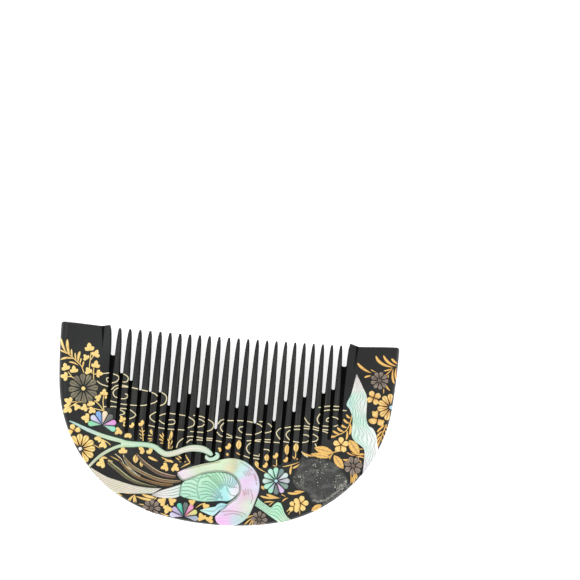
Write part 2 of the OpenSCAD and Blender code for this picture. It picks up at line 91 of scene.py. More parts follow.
class KushiSizes(PropertyGroup):
    """Sizes of the comb, in millimetres."""

    spine_thick: length("Spine", "Thickness at the spine", 7.2, 6, 9)
    tip_thick: length("Tips", "Thickness where the tooth tips begin to thin out", 4.2, 3.6, 5)
    back_radius: length("Back arc", "Radius of the arc along the middle of the spine", 80, 70, 95)
    flank_radius: length("Flank arc", "Radius of the arc along each flank", 190, 150, 240)
    shoulder_radius: length("Shoulder arc", "Radius of the arc between spine and flank", 40, 36, 44)
    corner_radius: length("Guard corners", "Rounding of the outer corners beside the tooth tips", 0.8, 0.4, 1.5)
    face_round: length("Face rim", "Rounding of the decorated face's rim", 2.1, 1, 2.4)
    back_round: length("Back rim", "Rounding of the back face's rim", 1.7, 1, 2)
    teeth: IntProperty(name="Teeth", description="Loose teeth between the guards", default=24, min=16, max=28)
    field: length("Tooth field", "Distance between the first and the last saw cut", 66.8, 56, 70)
    kerf: length("Saw cut", "Width of a saw cut at the tooth roots", 0.85, 0.6, 1)
    flare_wide: length("Tooth rounding", "How far a tooth's rounded edge reaches across its face", 0.18, 0.1, 0.6)
    flare_deep: length("Tooth rounding depth", "How far a tooth's rounded edge falls", 0.3, 0.1, 0.9)
    drift: length("Drift", "How far the middle saw cuts stand off to the right at half depth", 0.6, 0, 0.8)
    drift_turn: FloatProperty(name="Tooth lean", description="Lean of the middle teeth to the right, in degrees",
                              default=1, min=0, max=1.5)
    floor_reach: length("Saw slope", "How much shorter a cut is at mid thickness", 13, 9, 14)
    thin_from: length("Thin from", "Distance from the spine where the teeth start to thin", 47.5, 44, 50)
    thin_deep: length("Tip thinning", "Depth taken off each face at the tips", 1.2, 0.5, 1.4)
    thin_wide: length("Thinned field", "Width of the field that is thinned at the tips", 72.8, 71, 76)
    shell: length("Shell", "Thickness of the carved shell", 0.7, 0.4, 1)
    lead: length("Lead", "Thickness of the lead and silver flowers", 0.35, 0.2, 0.5)
    gold: length("Gold", "Thickness of the raised gold", 0.45, 0.3, 0.6)
    line: length("Gold line", "Half the width of a gold line", 0.15, 0.1, 0.4)
    scar: length("Bare place", "Depth of the place that a lost inlay has left", 0.35, 0.2, 0.6)


class KushiColours(PropertyGroup):
    """Colours of the comb's finishes."""

    lacquer: tone("Lacquer", "Black lacquer", "#191a19")
    bare: tone("Bare ground", "Ground under the lost inlay", "#3a3b3a")
    gold: tone("Gold", "Raised gold on the left", "#ffe08a")
    orange: tone("Orange gold", "Raised gold on the right", "#fcc660")
    # The gold crease colour is painted shade: it darkens the edges, ribs, notches and grooves of the gold.
    crease: tone("Gold crease", "Brown in the creases of the gold", "#8a6430")
    line: tone("Gold line", "Pale gold of the water lines", "#efe3b8")
    glue: tone("Glue", "Remains of glue in the bare place", "#d2d0c6")


# ---- The comb's outline and its face ----


def turn_of(step):
    """Angle of a step from the X axis."""
    return np.arctan2(step[1], step[0])


class Outline:
    """The half-moon outline: five arcs that touch one another, mirrored about the middle. The shoulder's
    middle is where its distances to the two wider arcs' middles are the differences of the radii."""

    def __init__(self, sizes):
        self.back_r, self.flank_r, self.shoulder_r = sizes.back_radius, sizes.flank_radius, sizes.shoulder_radius
        self.corner_r = sizes.corner_radius
        self.back_c = np.array([0, self.back_r - HALF_DEEP])
        self.flank_c = np.array([HALF_WIDE - self.flank_r, HALF_DEEP])
        step = self.flank_c - self.back_c
        apart = np.hypot(*step)
        near, far = self.back_r - self.shoulder_r, self.flank_r - self.shoulder_r
        along = (near**2 - far**2 + apart**2) / (2 * apart)
        aside = np.sqrt(near**2 - along**2)
        self.shoulder_c = self.back_c + step / apart * along + np.array([-step[1], step[0]]) / apart * aside
        self.back_turn = turn_of(self.shoulder_c - self.back_c)
        self.flank_turn = turn_of(self.shoulder_c - self.flank_c)

    def inset(self, x, y):
        """Distance from the outline inwards: radius less the distance from the arc's middle, by the arc whose
        sector the place lies in."""
        x = np.abs(x)
        turn = np.arctan2(y - self.shoulder_c[1], x - self.shoulder_c[0])
        back = self.back_r - np.hypot(x - self.back_c[0], y - self.back_c[1])
        shoulder = self.shoulder_r - np.hypot(x - self.shoulder_c[0], y - self.shoulder_c[1])
        flank = self.flank_r - np.hypot(x - self.flank_c[0], y - self.flank_c[1])
        return np.where(turn < self.back_turn, back, np.where(turn > self.flank_turn, flank, shoulder))

    def tuck(self, x, y, margin):
        """Moves places that lie nearer the edge than margin straight inwards to it."""
        step = 1e-3
        inset = self.inset(x, y)
        across = (self.inset(x + step, y) - inset) / step
        down = (self.inset(x, y + step) - inset) / step
        short = np.clip(margin - inset, 0, None)
        return x + across * short, y + down * short

    def ring(self, grow, counts=(60, 70, 26, 150)):
        """The outline grown outwards, anticlockwise from the middle of the spine, tooth side and its two rounded
        corners included."""
        bend = max(self.corner_r + grow, 0.06)
        turn_c = np.array([HALF_WIDE + grow - bend, HALF_DEEP + 0.12 * grow - bend])
        flank_end = (turn_c[1] - HALF_DEEP) / self.flank_r
        arcs = (
            (self.back_c, self.back_r, -np.pi / 2, self.back_turn, counts[0]),
            (self.shoulder_c, self.shoulder_r, self.back_turn, self.flank_turn, counts[1]),
            (self.flank_c, self.flank_r, self.flank_turn, flank_end, counts[2]),
            (turn_c, bend - grow, 0, np.pi / 2, 8),
        )
        right = []
        for centre, radius, start, end, count in arcs:
            turn = np.linspace(start, end, count, endpoint=False)
            right.append(centre + (radius + grow) * np.stack([np.cos(turn), np.sin(turn)], -1))
        right = np.concatenate(right)
        tips = np.stack([np.linspace(turn_c[0], -turn_c[0], counts[3]), np.full(counts[3], turn_c[1] + bend)], -1)
        left = right[:0:-1] * (-1, 1)
        return np.concatenate([right, tips, left])


class Face:
    """Heights of the decorated face, and of the back, in millimetres."""

    def __init__(self, sizes):
        self.sizes = sizes
        self.outline = Outline(sizes)
        self.pitch = sizes.field / sizes.teeth
        self.kerfs = np.linspace(-sizes.field / 2, sizes.field / 2, sizes.teeth + 1)
        self.slope = (sizes.spine_thick - sizes.tip_thick) / DEPTH

    def thinning(self, x, y):
        """Depth taken off at the tips of the thinned field: it grows from nothing at thin_from."""
        s = self.sizes
        along = np.clip((y + HALF_DEEP - s.thin_from) / (DEPTH - s.thin_from), 0, 1.2)
        return np.where(np.abs(x) < s.thin_wide / 2, s.thin_deep * along**1.25, 0)

    def flat(self, y):
        """Height of the face before its tips are thinned: it falls evenly from the spine."""
        return self.sizes.spine_thick - (y + HALF_DEEP) * self.slope

    def plane(self, x, y):
        """Height of the face inside its rim: the flat one less the thinning."""
        return self.flat(y) - self.thinning(x, y)

    def rim(self, x, y, lift):
        """Height over the plane of the surface that lies lift outside the rounded rim: a quarter circle whose
        middle is one radius in from the outline and one radius down."""
        radius = self.sizes.face_round
        reach = np.clip(radius - self.outline.inset(x, y), 0, None)
        over = np.clip((radius + lift) ** 2 - reach**2, 0, None)
        return np.sqrt(over) - radius

    def drifted(self, x, y):
        """Where the saw cut that is nominally at x runs: the middle ones stand off to the right and lean."""
        off = self.sizes.drift + y * np.tan(np.radians(self.sizes.drift_turn))
        return x + (1 - (2 * x / self.sizes.field) ** 2) * off

    def pitch_at(self, x, y):
        """The pitch beside a nominal place, which the drift widens on the left and narrows on the right."""
        off = self.sizes.drift + y * np.tan(np.radians(self.sizes.drift_turn))
        return self.pitch * (1 - 8 * x / self.sizes.field**2 * off)

    def root(self, x):
        """Where a saw cut starts on the face, along a hollow curve."""
        reach = np.clip(1 - (x / (self.sizes.field / 2 + 1)) ** 2, 0, None)
        share = (1 - np.sqrt(reach)) / ROOT_BOW
        return ROOT_FROM + ROOT_FALL * share - HALF_DEEP

    def gap_half(self, x, y):
        """Half the width of a saw cut: it widens as the teeth taper."""
        share = (y + HALF_DEEP) / DEPTH * 100
        dip = TIP_DIP * (1 - (2 * x / self.sizes.field) ** 2) / DEPTH * 100
        share = share + dip * np.clip((share - 60) / 40, 0, 1)
        kept = np.interp(share, TAPER[:, 0], TAPER[:, 1])
        pitch = self.pitch_at(x, y)
        return (pitch - (pitch - self.sizes.kerf) * kept) / 2

    def tooth_drop(self, x, y):
        """How far a tooth's rounded edge has fallen: a quarter ellipse beside each saw cut."""
        nearest = self.kerfs[np.abs(x[..., None] - self.drifted(self.kerfs, y[..., None])).argmin(-1)]
        half = self.gap_half(nearest, y)
        wide = np.minimum(self.sizes.flare_wide, 0.9 * (self.pitch_at(nearest, y) / 2 - half))
        beside = np.clip((np.abs(x - self.drifted(nearest, y)) - half) / wide, 0, 1)
        fall = self.sizes.flare_deep * (1 - np.sqrt(1 - (1 - beside) ** 2))
        return np.where(y > self.root(nearest) - 0.2, fall, 0)

    def tooth_span(self, x, y):
        """Where the tooth that holds each place starts and ends, 1 m away where there is no saw cut."""
        cuts, half = self.drifted(self.kerfs, y[..., None]), self.gap_half(self.kerfs, y[..., None])
        sawn = y[..., None] > self.root(self.kerfs) - 0.8
        left = np.where(sawn & (cuts <= x[..., None]), cuts + half, -1000).max(-1)
        right = np.where(sawn & (cuts > x[..., None]), cuts - half, 1000).min(-1)
        return left, right

    def drape(self, x, y, lift, toothed=False):
        """Points that lie lift above the face at the given places."""
        z = self.plane(x, y) + self.rim(x, y, lift)
        if toothed:
            z = z - self.tooth_drop(x, y)
        return np.stack([x, y, z], -1)


# How far the line of the tooth tips dips in the middle, in millimetres
TIP_DIP = 0.35

# Where the saw cuts start on the face: distance from the spine in the middle and how much further at the ends of
# the field, in millimetres, and what one less the root reaches there
ROOT_FROM, ROOT_FALL, ROOT_BOW = 17, 15, 0.76

# Slope of each hand-sawn cut's floor, from the left, in hundredths of the saw slope
REACH = (
    110, 105, 110, 105, 115, 125, 105, 120, 145, 120, 130, 80, 145, 130, 135, 95, 135, 95, 135, 105, 130, 95, 115,
    105, 125
)

# Share of its root width that a tooth keeps, by its distance from the spine in hundredths of the depth
TAPER = np.array([
    [60, 1], [68, 1], [77, 0.92], [82, 0.83], [86, 0.75], [90, 0.68], [93, 0.61], [96.3, 0.49], [97.8, 0.38],
    [98.6, 0.25], [99.1, 0.08], [120, 0.08]
])


# ---- Meshes from grids ----


def grid_faces(rows, columns, start=0, closed=False):
    """Quads of a grid of points, anticlockwise where rows run along x and columns along y."""
    across = columns if closed else columns - 1
    i, j = np.meshgrid(np.arange(rows - 1), np.arange(across), indexing="ij")
    k = (j + 1) % columns
    faces = np.stack([i * columns + j, (i + 1) * columns + j, (i + 1) * columns + k, i * columns + k], -1)
    return faces.reshape(-1, 4) + start


def turned(top):
    """Whether a grid's rows and columns run clockwise, seen from above."""
    rows, columns = top.shape[:2]
    along, across = top[-1, columns // 2] - top[0, columns // 2], top[rows // 2, -1] - top[rows // 2, 0]
    return along[0] * across[1] - along[1] * across[0] < 0


def solid(top, bottom):
    """Closed shell of a grid of points over a second grid, with walls round their edges."""
    rows, columns = top.shape[:2]
    if turned(top):
        top, bottom = top[::-1], bottom[::-1]
    count = rows * columns
    index = np.arange(count).reshape(rows, columns)
    edge = np.concatenate([index[:-1, 0], index[-1, :-1], index[:0:-1, -1], index[0, :0:-1]])
    following = np.roll(edge, -1)
    wall = np.stack([edge, edge + count, following + count, following], -1)
    faces = np.concatenate([grid_faces(rows, columns), grid_faces(rows, columns)[:, ::-1] + count, wall])
    return np.concatenate([top.reshape(-1, 3), bottom.reshape(-1, 3)]), faces


class Build:
    """Gathers closed shells, with a colour at each point, for one piece."""

    def __init__(self):
        self.points, self.faces, self.tints, self.count = [], [], [], 0

    def add(self, points, faces, tint):
        self.points.append(points)
        self.faces.append(faces + self.count)
        self.tints.append(np.broadcast_to(tint, (len(points), 3)))
        self.count += len(points)

    def plaque(self, face, x, y, lift, tint, toothed=False, sunk=0.05):
        """A closed plate that follows the face: a grid of places raised by lift, over the same places sunk a
        little into the lacquer."""
        x, y = face.outline.tuck(x, y, 0.05)
        top = face.drape(x, y, np.asarray(lift), toothed)
        bottom = face.drape(x, y, np.full(x.shape, -sunk), toothed)
        points, faces = solid(top, bottom)
        tint = np.broadcast_to(tint, x.shape + (3,))
        if turned(top):
            tint = tint[::-1]
        self.add(points, faces, np.tile(tint.reshape(-1, 3), (2, 1)))

    def object(self, name, material, sharp=50):
        points = np.concatenate(self.points) * MM
        faces = np.concatenate(self.faces)
        mesh = bpy.data.meshes.new(name)
        mesh.vertices.add(len(points))
        mesh.vertices.foreach_set("co", points.ravel())
        mesh.loops.add(faces.size)
        mesh.loops.foreach_set("vertex_index", faces.ravel().astype(np.int32))
        mesh.polygons.add(len(faces))
        mesh.polygons.foreach_set("loop_start", np.arange(0, faces.size, 4, dtype=np.int32))
        mesh.update(calc_edges=True)
        tint = mesh.color_attributes.new("tint", "FLOAT_COLOR", "POINT")
        colours = np.ones((len(points), 4))
        colours[:, :3] = np.concatenate(self.tints)
        tint.data.foreach_set("color", colours.ravel())
        mesh.materials.append(material)
        mesh.shade_smooth()
        mesh.set_sharp_from_angle(angle=np.radians(sharp))
        piece = bpy.data.objects.new(name, mesh)
        bpy.context.scene.collection.objects.link(piece)
        return piece


def settle(piece, slot, *nodes):
    """The piece moves with the comb and stands for its CAD nodes, which are hidden. Its slot is not used."""
    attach(piece, "root")
    if nodes:
        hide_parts(*nodes)
    return piece


# ---- Curves and noise ----


def smooth(rows, steps):
    """A smooth curve through rows of any length: Hermite stretches whose slopes are half the step between
    the neighbours."""
    rows = np.asarray(rows, float)
    ahead = np.concatenate([rows[1:], rows[-1:]])
    behind = np.concatenate([rows[:1], rows[:-1]])
    slope = (ahead - behind) / 2
    t = np.linspace(0, 1, steps, endpoint=False)[None, :, None]
    a, b, ma, mb = rows[:-1, None], rows[1:, None], slope[:-1, None], slope[1:, None]
    curve = (a * (2 * t**3 - 3 * t**2 + 1) + ma * (t**3 - 2 * t**2 + t)
             + b * (3 * t**2 - 2 * t**3) + mb * (t**3 - t**2))
    return np.concatenate([curve.reshape(-1, rows.shape[1]), rows[-1:]])


def gone_along(path):
    """How far along a path each of its points lies: the sum of the steps before it."""
    return np.concatenate([[0], np.cumsum(np.hypot(*np.diff(path, axis=0).T))])


def evenly(path, spacing):
    """A path in millimetres sampled at even steps of its length."""
    gone = gone_along(path)
    count = max(3, int(gone[-1] / spacing) + 1)
    at = np.linspace(0, gone[-1], count)
    return np.stack([np.interp(at, gone, path[:, 0]), np.interp(at, gone, path[:, 1])], -1)


def across_of(path):
    """Unit vectors to the left of a path."""
    along = np.gradient(path, axis=0)
    along /= np.hypot(*along.T)[:, None] + 1e-9
    return np.stack([-along[:, 1], along[:, 0]], -1)


def rounded(distance, reach):
    """Share of the full height at a distance from an edge that is rounded over reach."""
    q = np.clip(distance / reach, 0, 1)
    return np.sqrt(1 - (1 - q) ** 2)


def groove(distance, wide):
    """A soft round groove: one in its middle, and nothing beyond about twice its half width."""
    return np.exp(-((distance / wide) ** 2))


def lumps(x, y, scale, seed, layers=3):
    """Smooth random relief between -1 and 1: sums of sine waves in seeded directions."""
    rng = np.random.default_rng(seed)
    total = np.zeros(np.shape(x))
    for k in range(layers * 4):
        turn, phase = rng.uniform(0, 2 * np.pi, 2)
        wave = 2 * np.pi / (scale * 0.6 ** (k // 4)) * rng.uniform(0.7, 1.3)
        total += 0.6 ** (k // 4) * np.sin((x * np.cos(turn) + y * np.sin(turn)) * wave + phase)
    return total / 4


def distance_to(x, y, curves):
    """Distance from each place to the nearest of some smooth curves, given in shares."""
    spots = np.concatenate([evenly(smooth(place(c), 8), 0.12) for c in curves])
    best = np.full(x.shape, 1e9)
    for part in np.array_split(spots, max(1, len(spots) // 64)):
        step = np.hypot(x[..., None] - part[:, 0], y[..., None] - part[:, 1])
        best = np.minimum(best, step.min(-1))
    return best


def washes(x, y, spots):
    """Colour that runs between listed touches of colour: each touch weighs less with distance."""
    at = place([s[:2] for s in spots])
    reach = np.array([s[2] for s in spots])
    colours = np.array([linear(s[3]) for s in spots])
    weight = np.exp(-((x[..., None] - at[:, 0]) ** 2 + (y[..., None] - at[:, 1]) ** 2) / reach**2) + 1e-9
    return (weight @ colours) / weight.sum(-1, keepdims=True)


def soft_steps(count):
    """Shares from 0 to 1 that crowd towards both ends."""
    return (1 - np.cos(np.pi * np.linspace(0, 1, count))) / 2


# ---- Comb body ----

# Edge of the bare place, open where it runs over the rim, and the place that it is measured from
BARE_MIDDLE = (60, 27)
BARE_EDGE = [
    (62.5, 13), (61.6, 15.9), (60.3, 16.7), (57, 16.3), (55.4, 15.8), (53.8, 18.4), (52, 21),
    (50, 22), (47.5, 21.9), (45.5, 23.1), (44, 24.9), (43.3, 27.2), (43.6, 30), (44.5, 32.6),
    (46, 34.8), (47, 36.6), (47.2, 39.4), (49.6, 38.6), (52, 38.8), (57, 38.7), (62, 38.5), (66, 37.4), (69.5, 35.2),
    (72.4, 33), (74.3, 30.5), (75.6, 27.5), (79, 24.9), (76, 19), (70, 14)
]


# Heights over and under the whole comb that the cutting tools reach to, in millimetres
OVER, UNDER, FAR_UNDER = 12.0, -2.0, -3.0

# How far the tools for the tip edges reach out past them, in millimetres
TIP_TOOL = 4


def plain_mesh(name, points, faces):
    """A mesh of faces of any size, with its faces turned outwards."""
    mesh = bpy.data.meshes.new(name)
    mesh.from_pydata((points * MM).tolist(), [], faces)
    mended = bmesh.new()
    mended.from_mesh(mesh)
    bmesh.ops.recalc_face_normals(mended, faces=mended.faces)
    mended.to_mesh(mesh)
    mended.free()
    return mesh


def bars_mesh(name, loops, order=1):
    """Four-sided bars with capped ends in one mesh: each is a row of loops of four corners. An order of -1 lists
    the corners of its faces the other way round, which decides the diagonals that the cut is split along."""
    points, faces, start = [], [], 0
    for loop in loops:
        steps = len(loop)
        last = start + 4 * (steps - 1)
        points.append(loop.reshape(-1, 3))
        faces += grid_faces(steps, 4, start, closed=True)[:, ::order].tolist()
        faces += [list(range(start, start + 4)), list(range(last, last + 4))[::order]]
        start = last + 4
    return plain_mesh(name, np.concatenate(points), faces)


def slab_mesh(face):
    """The comb before it is sawn: the outline carried round the rounded rims in rings, and in ever smaller
    rings over the two faces to a point in their middle."""
    s = face.sizes
    middle = np.array([0, 4.0])
    face_turns = np.linspace(0, np.pi / 2, 13)
    back_turns = np.linspace(np.pi / 2, 0, 9)
    shrink = (np.linspace(1, 0, 26)[1:-1]) ** 0.8
    rings = []
    inner = face.outline.ring(-s.back_round)
    for k in shrink[::-1]:
        x, y = (middle + (inner - middle) * k).T
        rings.append(np.stack([x, y, 0 * x], -1))
    for turn in back_turns:
        x, y = face.outline.ring(s.back_round * (np.cos(turn) - 1)).T
        rings.append(np.stack([x, y, np.full(x.shape, s.back_round * (1 - np.sin(turn)))], -1))
    for turn in face_turns:
        x, y = face.outline.ring(s.face_round * (np.cos(turn) - 1)).T
        rings.append(np.stack([x, y, face.flat(y) - s.face_round * (1 - np.sin(turn))], -1))
    inner = face.outline.ring(-s.face_round)
    for k in shrink:
        x, y = (middle + (inner - middle) * k).T
        rings.append(np.stack([x, y, face.flat(y)], -1))
    grid = np.array(rings)
    rows, columns = grid.shape[:2]
    points = grid.reshape(-1, 3)
    low, high = len(points), len(points) + 1
    ends = np.array([[*middle, 0], [*middle, face.flat(middle[1])]])
    faces = grid_faces(rows, columns, closed=True)[:, ::-1].tolist()
    ring = np.arange(columns)
    following = np.roll(ring, -1)
    last = (rows - 1) * columns
    faces += np.stack([following, ring, np.full(columns, low)], -1).tolist()
    faces += np.stack([ring + last, following + last, np.full(columns, high)], -1).tolist()
    return plain_mesh("slab", np.concatenate([points, ends]), faces)


def saw_mesh(face):
    """All saw cuts: each is a hairpin in plan, from beyond the tips up one side to its root and back down the
    other, carried through the thickness. Its root slopes inwards and its sides flare at both faces."""
    s = face.sizes
    # Thickness that the flare is measured by, how far the flare moves a cut's root, how far a cut runs past the
    # tips, half the least width that a tooth keeps on its face, and how far from its root a cut is still narrower
    thick, root_flare, past, least_half, narrow = 4.9, 0.8, 1.2, 0.035, 0.5
    shares = np.array([-0.25, 0, 0.004, 0.012, 0.025, 0.045, 0.075, 0.12, 0.2, 0.35, 0.5])
    shares = np.concatenate([shares, 1 - shares[-2::-1]])
    along = 1 - np.linspace(0, 1, 34) ** 1.15
    points, faces = [], []
    for i, kerf in enumerate(face.kerfs):
        root = face.root(kerf)
        level = np.clip(shares, 0, 1)[:, None]
        depth_share = 1 - np.abs(2 * level - 1)
        depth = np.clip(np.minimum(level, 1 - level) * thick, 0, s.flare_deep)
        flare = 1 - np.sqrt(1 - (1 - depth / s.flare_deep) ** 2)
        start = root + s.floor_reach * REACH[i % len(REACH)] / 100 * depth_share - root_flare * flare
        end = HALF_DEEP + past
        y = start + (end - start) * (1 - along[::-1])[None]
        pitch = face.pitch_at(kerf, y)
        half = face.gap_half(kerf, y)
        wide = np.minimum(s.flare_wide, 0.9 * (pitch / 2 - half))
        tooth_side = np.minimum(half + wide * flare, pitch / 2 - least_half)
        near_root = np.clip((y - start) / narrow, 0, 1)
        tooth_side = tooth_side * np.sqrt(0.25 + 0.75 * (1 - (1 - near_root) ** 2))
        low, high = face.thinning(kerf, y), face.plane(kerf, y)
        z = low + (high - low) * shares[:, None]
        middle = face.drifted(kerf, y)
        left = np.stack([middle - tooth_side, y, z], -1)[:, ::-1]
        right = np.stack([middle + tooth_side, y, z], -1)
        loop = np.concatenate([left, right], 1)
        rows, columns = loop.shape[:2]
        start_at = sum(len(p) for p in points)
        points.append(loop.reshape(-1, 3))
        faces += grid_faces(rows, columns, start_at, closed=True)[:, ::-1].tolist()
        base = np.arange(columns // 2 - 1)
        mates = columns - 1 - base
        caps = np.stack([base, mates, mates - 1, base + 1], -1)
        last = (rows - 1) * columns
        faces += (caps[:, ::-1] + start_at).tolist()
        faces += (caps + start_at + last).tolist()
    return plain_mesh("saw_cuts", np.concatenate(points), faces)


def thin_mesh(face):
    """Two wedges that thin the field of the teeth, each a profile along Y that is carried across the field. Their
    sloping sides, the steps to the guards, have the second material, the nearly black sawn finish, as painted shade."""
    s = face.sizes
    wide = s.thin_wide / 2 - 1e-3
    y = np.linspace(s.thin_from - HALF_DEEP, HALF_DEEP + 1.5, 16)
    loops = []
    for near, far in ((face.plane(0, y), OVER), (face.thinning(0, y), FAR_UNDER)):
        spread = 0.8 * np.abs(far - near)
        corners = ((-1, 0, near), (1, 0, near), (1, spread, far), (-1, spread, far))
        loops.append(np.stack([np.stack([side * (wide + out) + 0 * y, y, z + 0 * y], -1)
                               for side, out, z in corners], 1))
    mesh = bars_mesh("thinned_field", loops)
    steps = np.tile([0, 1], len(mesh.polygons) // 2)
    steps[len(steps) // 2 - 2:len(steps) // 2] = steps[-2:] = 0
    mesh.polygons.foreach_set("material_index", steps.astype(np.int32))
    return mesh


def tip_tool(x, y):
    """Loops of a bar whose inner side stands along a curve in plan, through the whole thickness."""
    corners = ((0, UNDER), (TIP_TOOL, UNDER), (TIP_TOOL, OVER), (0, OVER))
    return np.stack([np.stack([x, y + out, z + 0 * x], -1) for out, z in corners], 1)


def tips_mesh(face):
    """Trims the loose teeth along a slightly hollow line, between the guards."""
    past, trim = 0.3, 0.66
    wide = face.sizes.field / 2 + past
    x = np.linspace(-wide, wide, 60)
    y = HALF_DEEP - trim - TIP_DIP * (1 - (x / wide) ** 2)
    return bars_mesh("tip_line", [tip_tool(x, y)], order=-1)


def guard_tips_mesh(face):
    """Hollows the tip edges of the guards: a smooth step leads down from the inner corner to the lowest place,
    a little past the thinned field, and a straight line leads up again to the outer corner."""
    s = face.sizes
    lowest, corner, step_wide = s.thin_wide / 2 + 1.2, HALF_WIDE - 1, 3.2
    x = np.linspace(s.field / 2 - 0.2, corner, 48)
    step = np.clip((x - lowest) / step_wide + 1, 0, 1)
    share = step ** 2 * (3 - 2 * step) * np.minimum((corner - x) / (corner - lowest), 1)
    clear, deep, deeper_right = 0.03, 0.62, 0.11
    return bars_mesh("guard_tips", [
        tip_tool(side * x, HALF_DEEP + clear - (deep + deeper_right * side) * share) for side in (-1, 1)])


def bare_edge(steps):
    """The bare place's edge as smooth points in millimetres, and its middle."""
    edge = smooth(place(BARE_EDGE + BARE_EDGE[:1]), steps)[:-1]
    return edge, place(BARE_MIDDLE)


def bare_mesh(face):
    """Cuts the bare place: a plate over its outline, whose underside is the face let in by a rough depth."""
    edge, middle = bare_edge(6)
    share = np.concatenate([[0.02], np.linspace(0.08, 1, 40)])
    x = middle[0] + (edge[:, 0] - middle[0]) * share[:, None]
    y = middle[1] + (edge[:, 1] - middle[1]) * share[:, None]
    rough = 1 + 0.16 * lumps(x, y, 3.2, 11) + 0.1 * lumps(x, y, 1.1, 12)
    depth = face.sizes.scar * rough
    inset = np.clip(face.outline.inset(x, y), 0.0, None)
    z = face.plane(x, y) + face.rim(x, y, -depth) - 2.2 * np.clip(depth - inset, 0, None)
    low = np.stack([x, y, z], -1)
    high = np.stack([x, y, np.full(x.shape, OVER)], -1)
    rows, columns = x.shape
    points = np.concatenate([low.reshape(-1, 3), high.reshape(-1, 3),
                             [[*middle, low[0, :, 2].mean()], [*middle, OVER]]])
    count = rows * columns
    sheet = grid_faces(rows, columns, closed=True)
    ring = np.arange(columns)
    following = np.roll(ring, -1)
    outer = (rows - 1) * columns
    faces = sheet[:, ::-1].tolist() + (sheet + count).tolist()
    faces += np.stack([following, ring, np.full(columns, 2 * count)], -1)[:, ::-1].tolist()
    faces += np.stack([ring + count, following + count, np.full(columns, 2 * count + 1)], -1)[:, ::-1].tolist()
    faces += np.stack([ring + outer, following + outer, following + outer + count, ring + outer + count], -1).tolist()
    return plain_mesh("bare_cut", points, faces)


def cut_body(face, lacquer, sawn, bare):
    """The slab less the thinned field, the saw cuts, the tip line, the guards' hollows and the bare place."""
    body = bpy.data.objects.new("lacquer_body", slab_mesh(face))
    bpy.context.scene.collection.objects.link(body)
    body.data.materials.append(lacquer)
    tools = []
    # The sawn finish is painted nearly black: painted shade on the cut sides and on the steps of the thinned field.
    for mesh, *finishes in ((thin_mesh(face), lacquer, sawn), (saw_mesh(face), sawn), (tips_mesh(face), lacquer),
                            (guard_tips_mesh(face), lacquer), (bare_mesh(face), bare)):
        for finish in finishes:
            mesh.materials.append(finish)
        tool = bpy.data.objects.new(mesh.name, mesh)
        bpy.context.scene.collection.objects.link(tool)
        tools.append(tool)
        cut = body.modifiers.new(mesh.name, "BOOLEAN")
        cut.operation, cut.object, cut.solver = "DIFFERENCE", tool, "MANIFOLD"
        cut.material_mode = "TRANSFER"
    bpy.context.view_layer.update()
    whole = bpy.data.meshes.new_from_object(body.evaluated_get(bpy.context.evaluated_depsgraph_get()))
    body.modifiers.clear()
    for tool in tools:
        bpy.data.meshes.remove(tool.data)
    body.data = whole
    whole.name = "lacquer_body"
    whole.shade_smooth()
    whole.set_sharp_from_angle(angle=np.radians(32))
    even = body.modifiers.new("even_normals", "WEIGHTED_NORMAL")
    even.keep_sharp = True
    return body


# ---- Finishes ----


class Finish:
    """A material whose colour, roughness and relief come from procedural patterns on Object coordinates."""

    def __init__(self, name, **constants):
        self.material = bpy.data.materials.new(name)
        self.material.use_nodes = True
        self.nodes, self.links = self.material.node_tree.nodes, self.material.node_tree.links
        self.shader = self.nodes["Principled BSDF"]
        self.places = self.nodes.new("ShaderNodeTexCoord").outputs["Object"]
        for socket, value in constants.items():
            self.shader.inputs[socket.replace("_", " ")].default_value = value

    def node(self, kind, inputs, **settings):
        made = self.nodes.new("ShaderNode" + kind)
        for key, value in settings.items():
            setattr(made, key, value)
        for key, value in inputs.items():
            if isinstance(value, bpy.types.NodeSocket):
                self.links.new(value, made.inputs[key])
            else:
                made.inputs[key].default_value = value
        return made

    def stretched(self, turn, scale):
        """Object coordinates turned about Z and scaled, for patterns that run in one direction."""
        made = self.node("Mapping", {"Vector": self.places})
        made.inputs["Rotation"].default_value = (0, 0, np.radians(turn))
        made.inputs["Scale"].default_value = scale
        return made.outputs["Vector"]

    def noise(self, per_metre, detail=3, places=None, distortion=0.0):
        made = self.node("TexNoise", {"Vector": places or self.places, "Scale": per_metre, "Detail": detail,
                                      "Distortion": distortion})
        return made.outputs["Fac"]

    def span(self, value, low, high, out_low=0.0, out_high=1.0):
        """A pattern's values from low to high spread over out_low to out_high."""
        made = self.node("MapRange", {"Value": value, "From Min": low, "From Max": high,
                                      "To Min": out_low, "To Max": out_high})
        return made.outputs["Result"]

    def mix(self, share, a, b):
        made = self.nodes.new("ShaderNodeMix")
        made.data_type = "RGBA"
        for socket, value in ((made.inputs[0], share), (made.inputs[6], a), (made.inputs[7], b)):
            if isinstance(value, bpy.types.NodeSocket):
                self.links.new(value, socket)
            else:
                socket.default_value = value if np.isscalar(value) else (*value[:3], 1)
        return made.outputs[2]

    def tint(self):
        return self.node("Attribute", {}, attribute_name="tint").outputs["Color"]

    def bump(self, height, depth, strength=1.0, under=None):
        inputs = {"Height": height, "Distance": depth * MM, "Strength": strength}
        if under is not None:
            inputs["Normal"] = under
        return self.node("Bump", inputs).outputs["Normal"]

    def set(self, **sockets):
        for name, value in sockets.items():
            self.links.new(value, self.shader.inputs[name.replace("_", " ")])
        return self.material


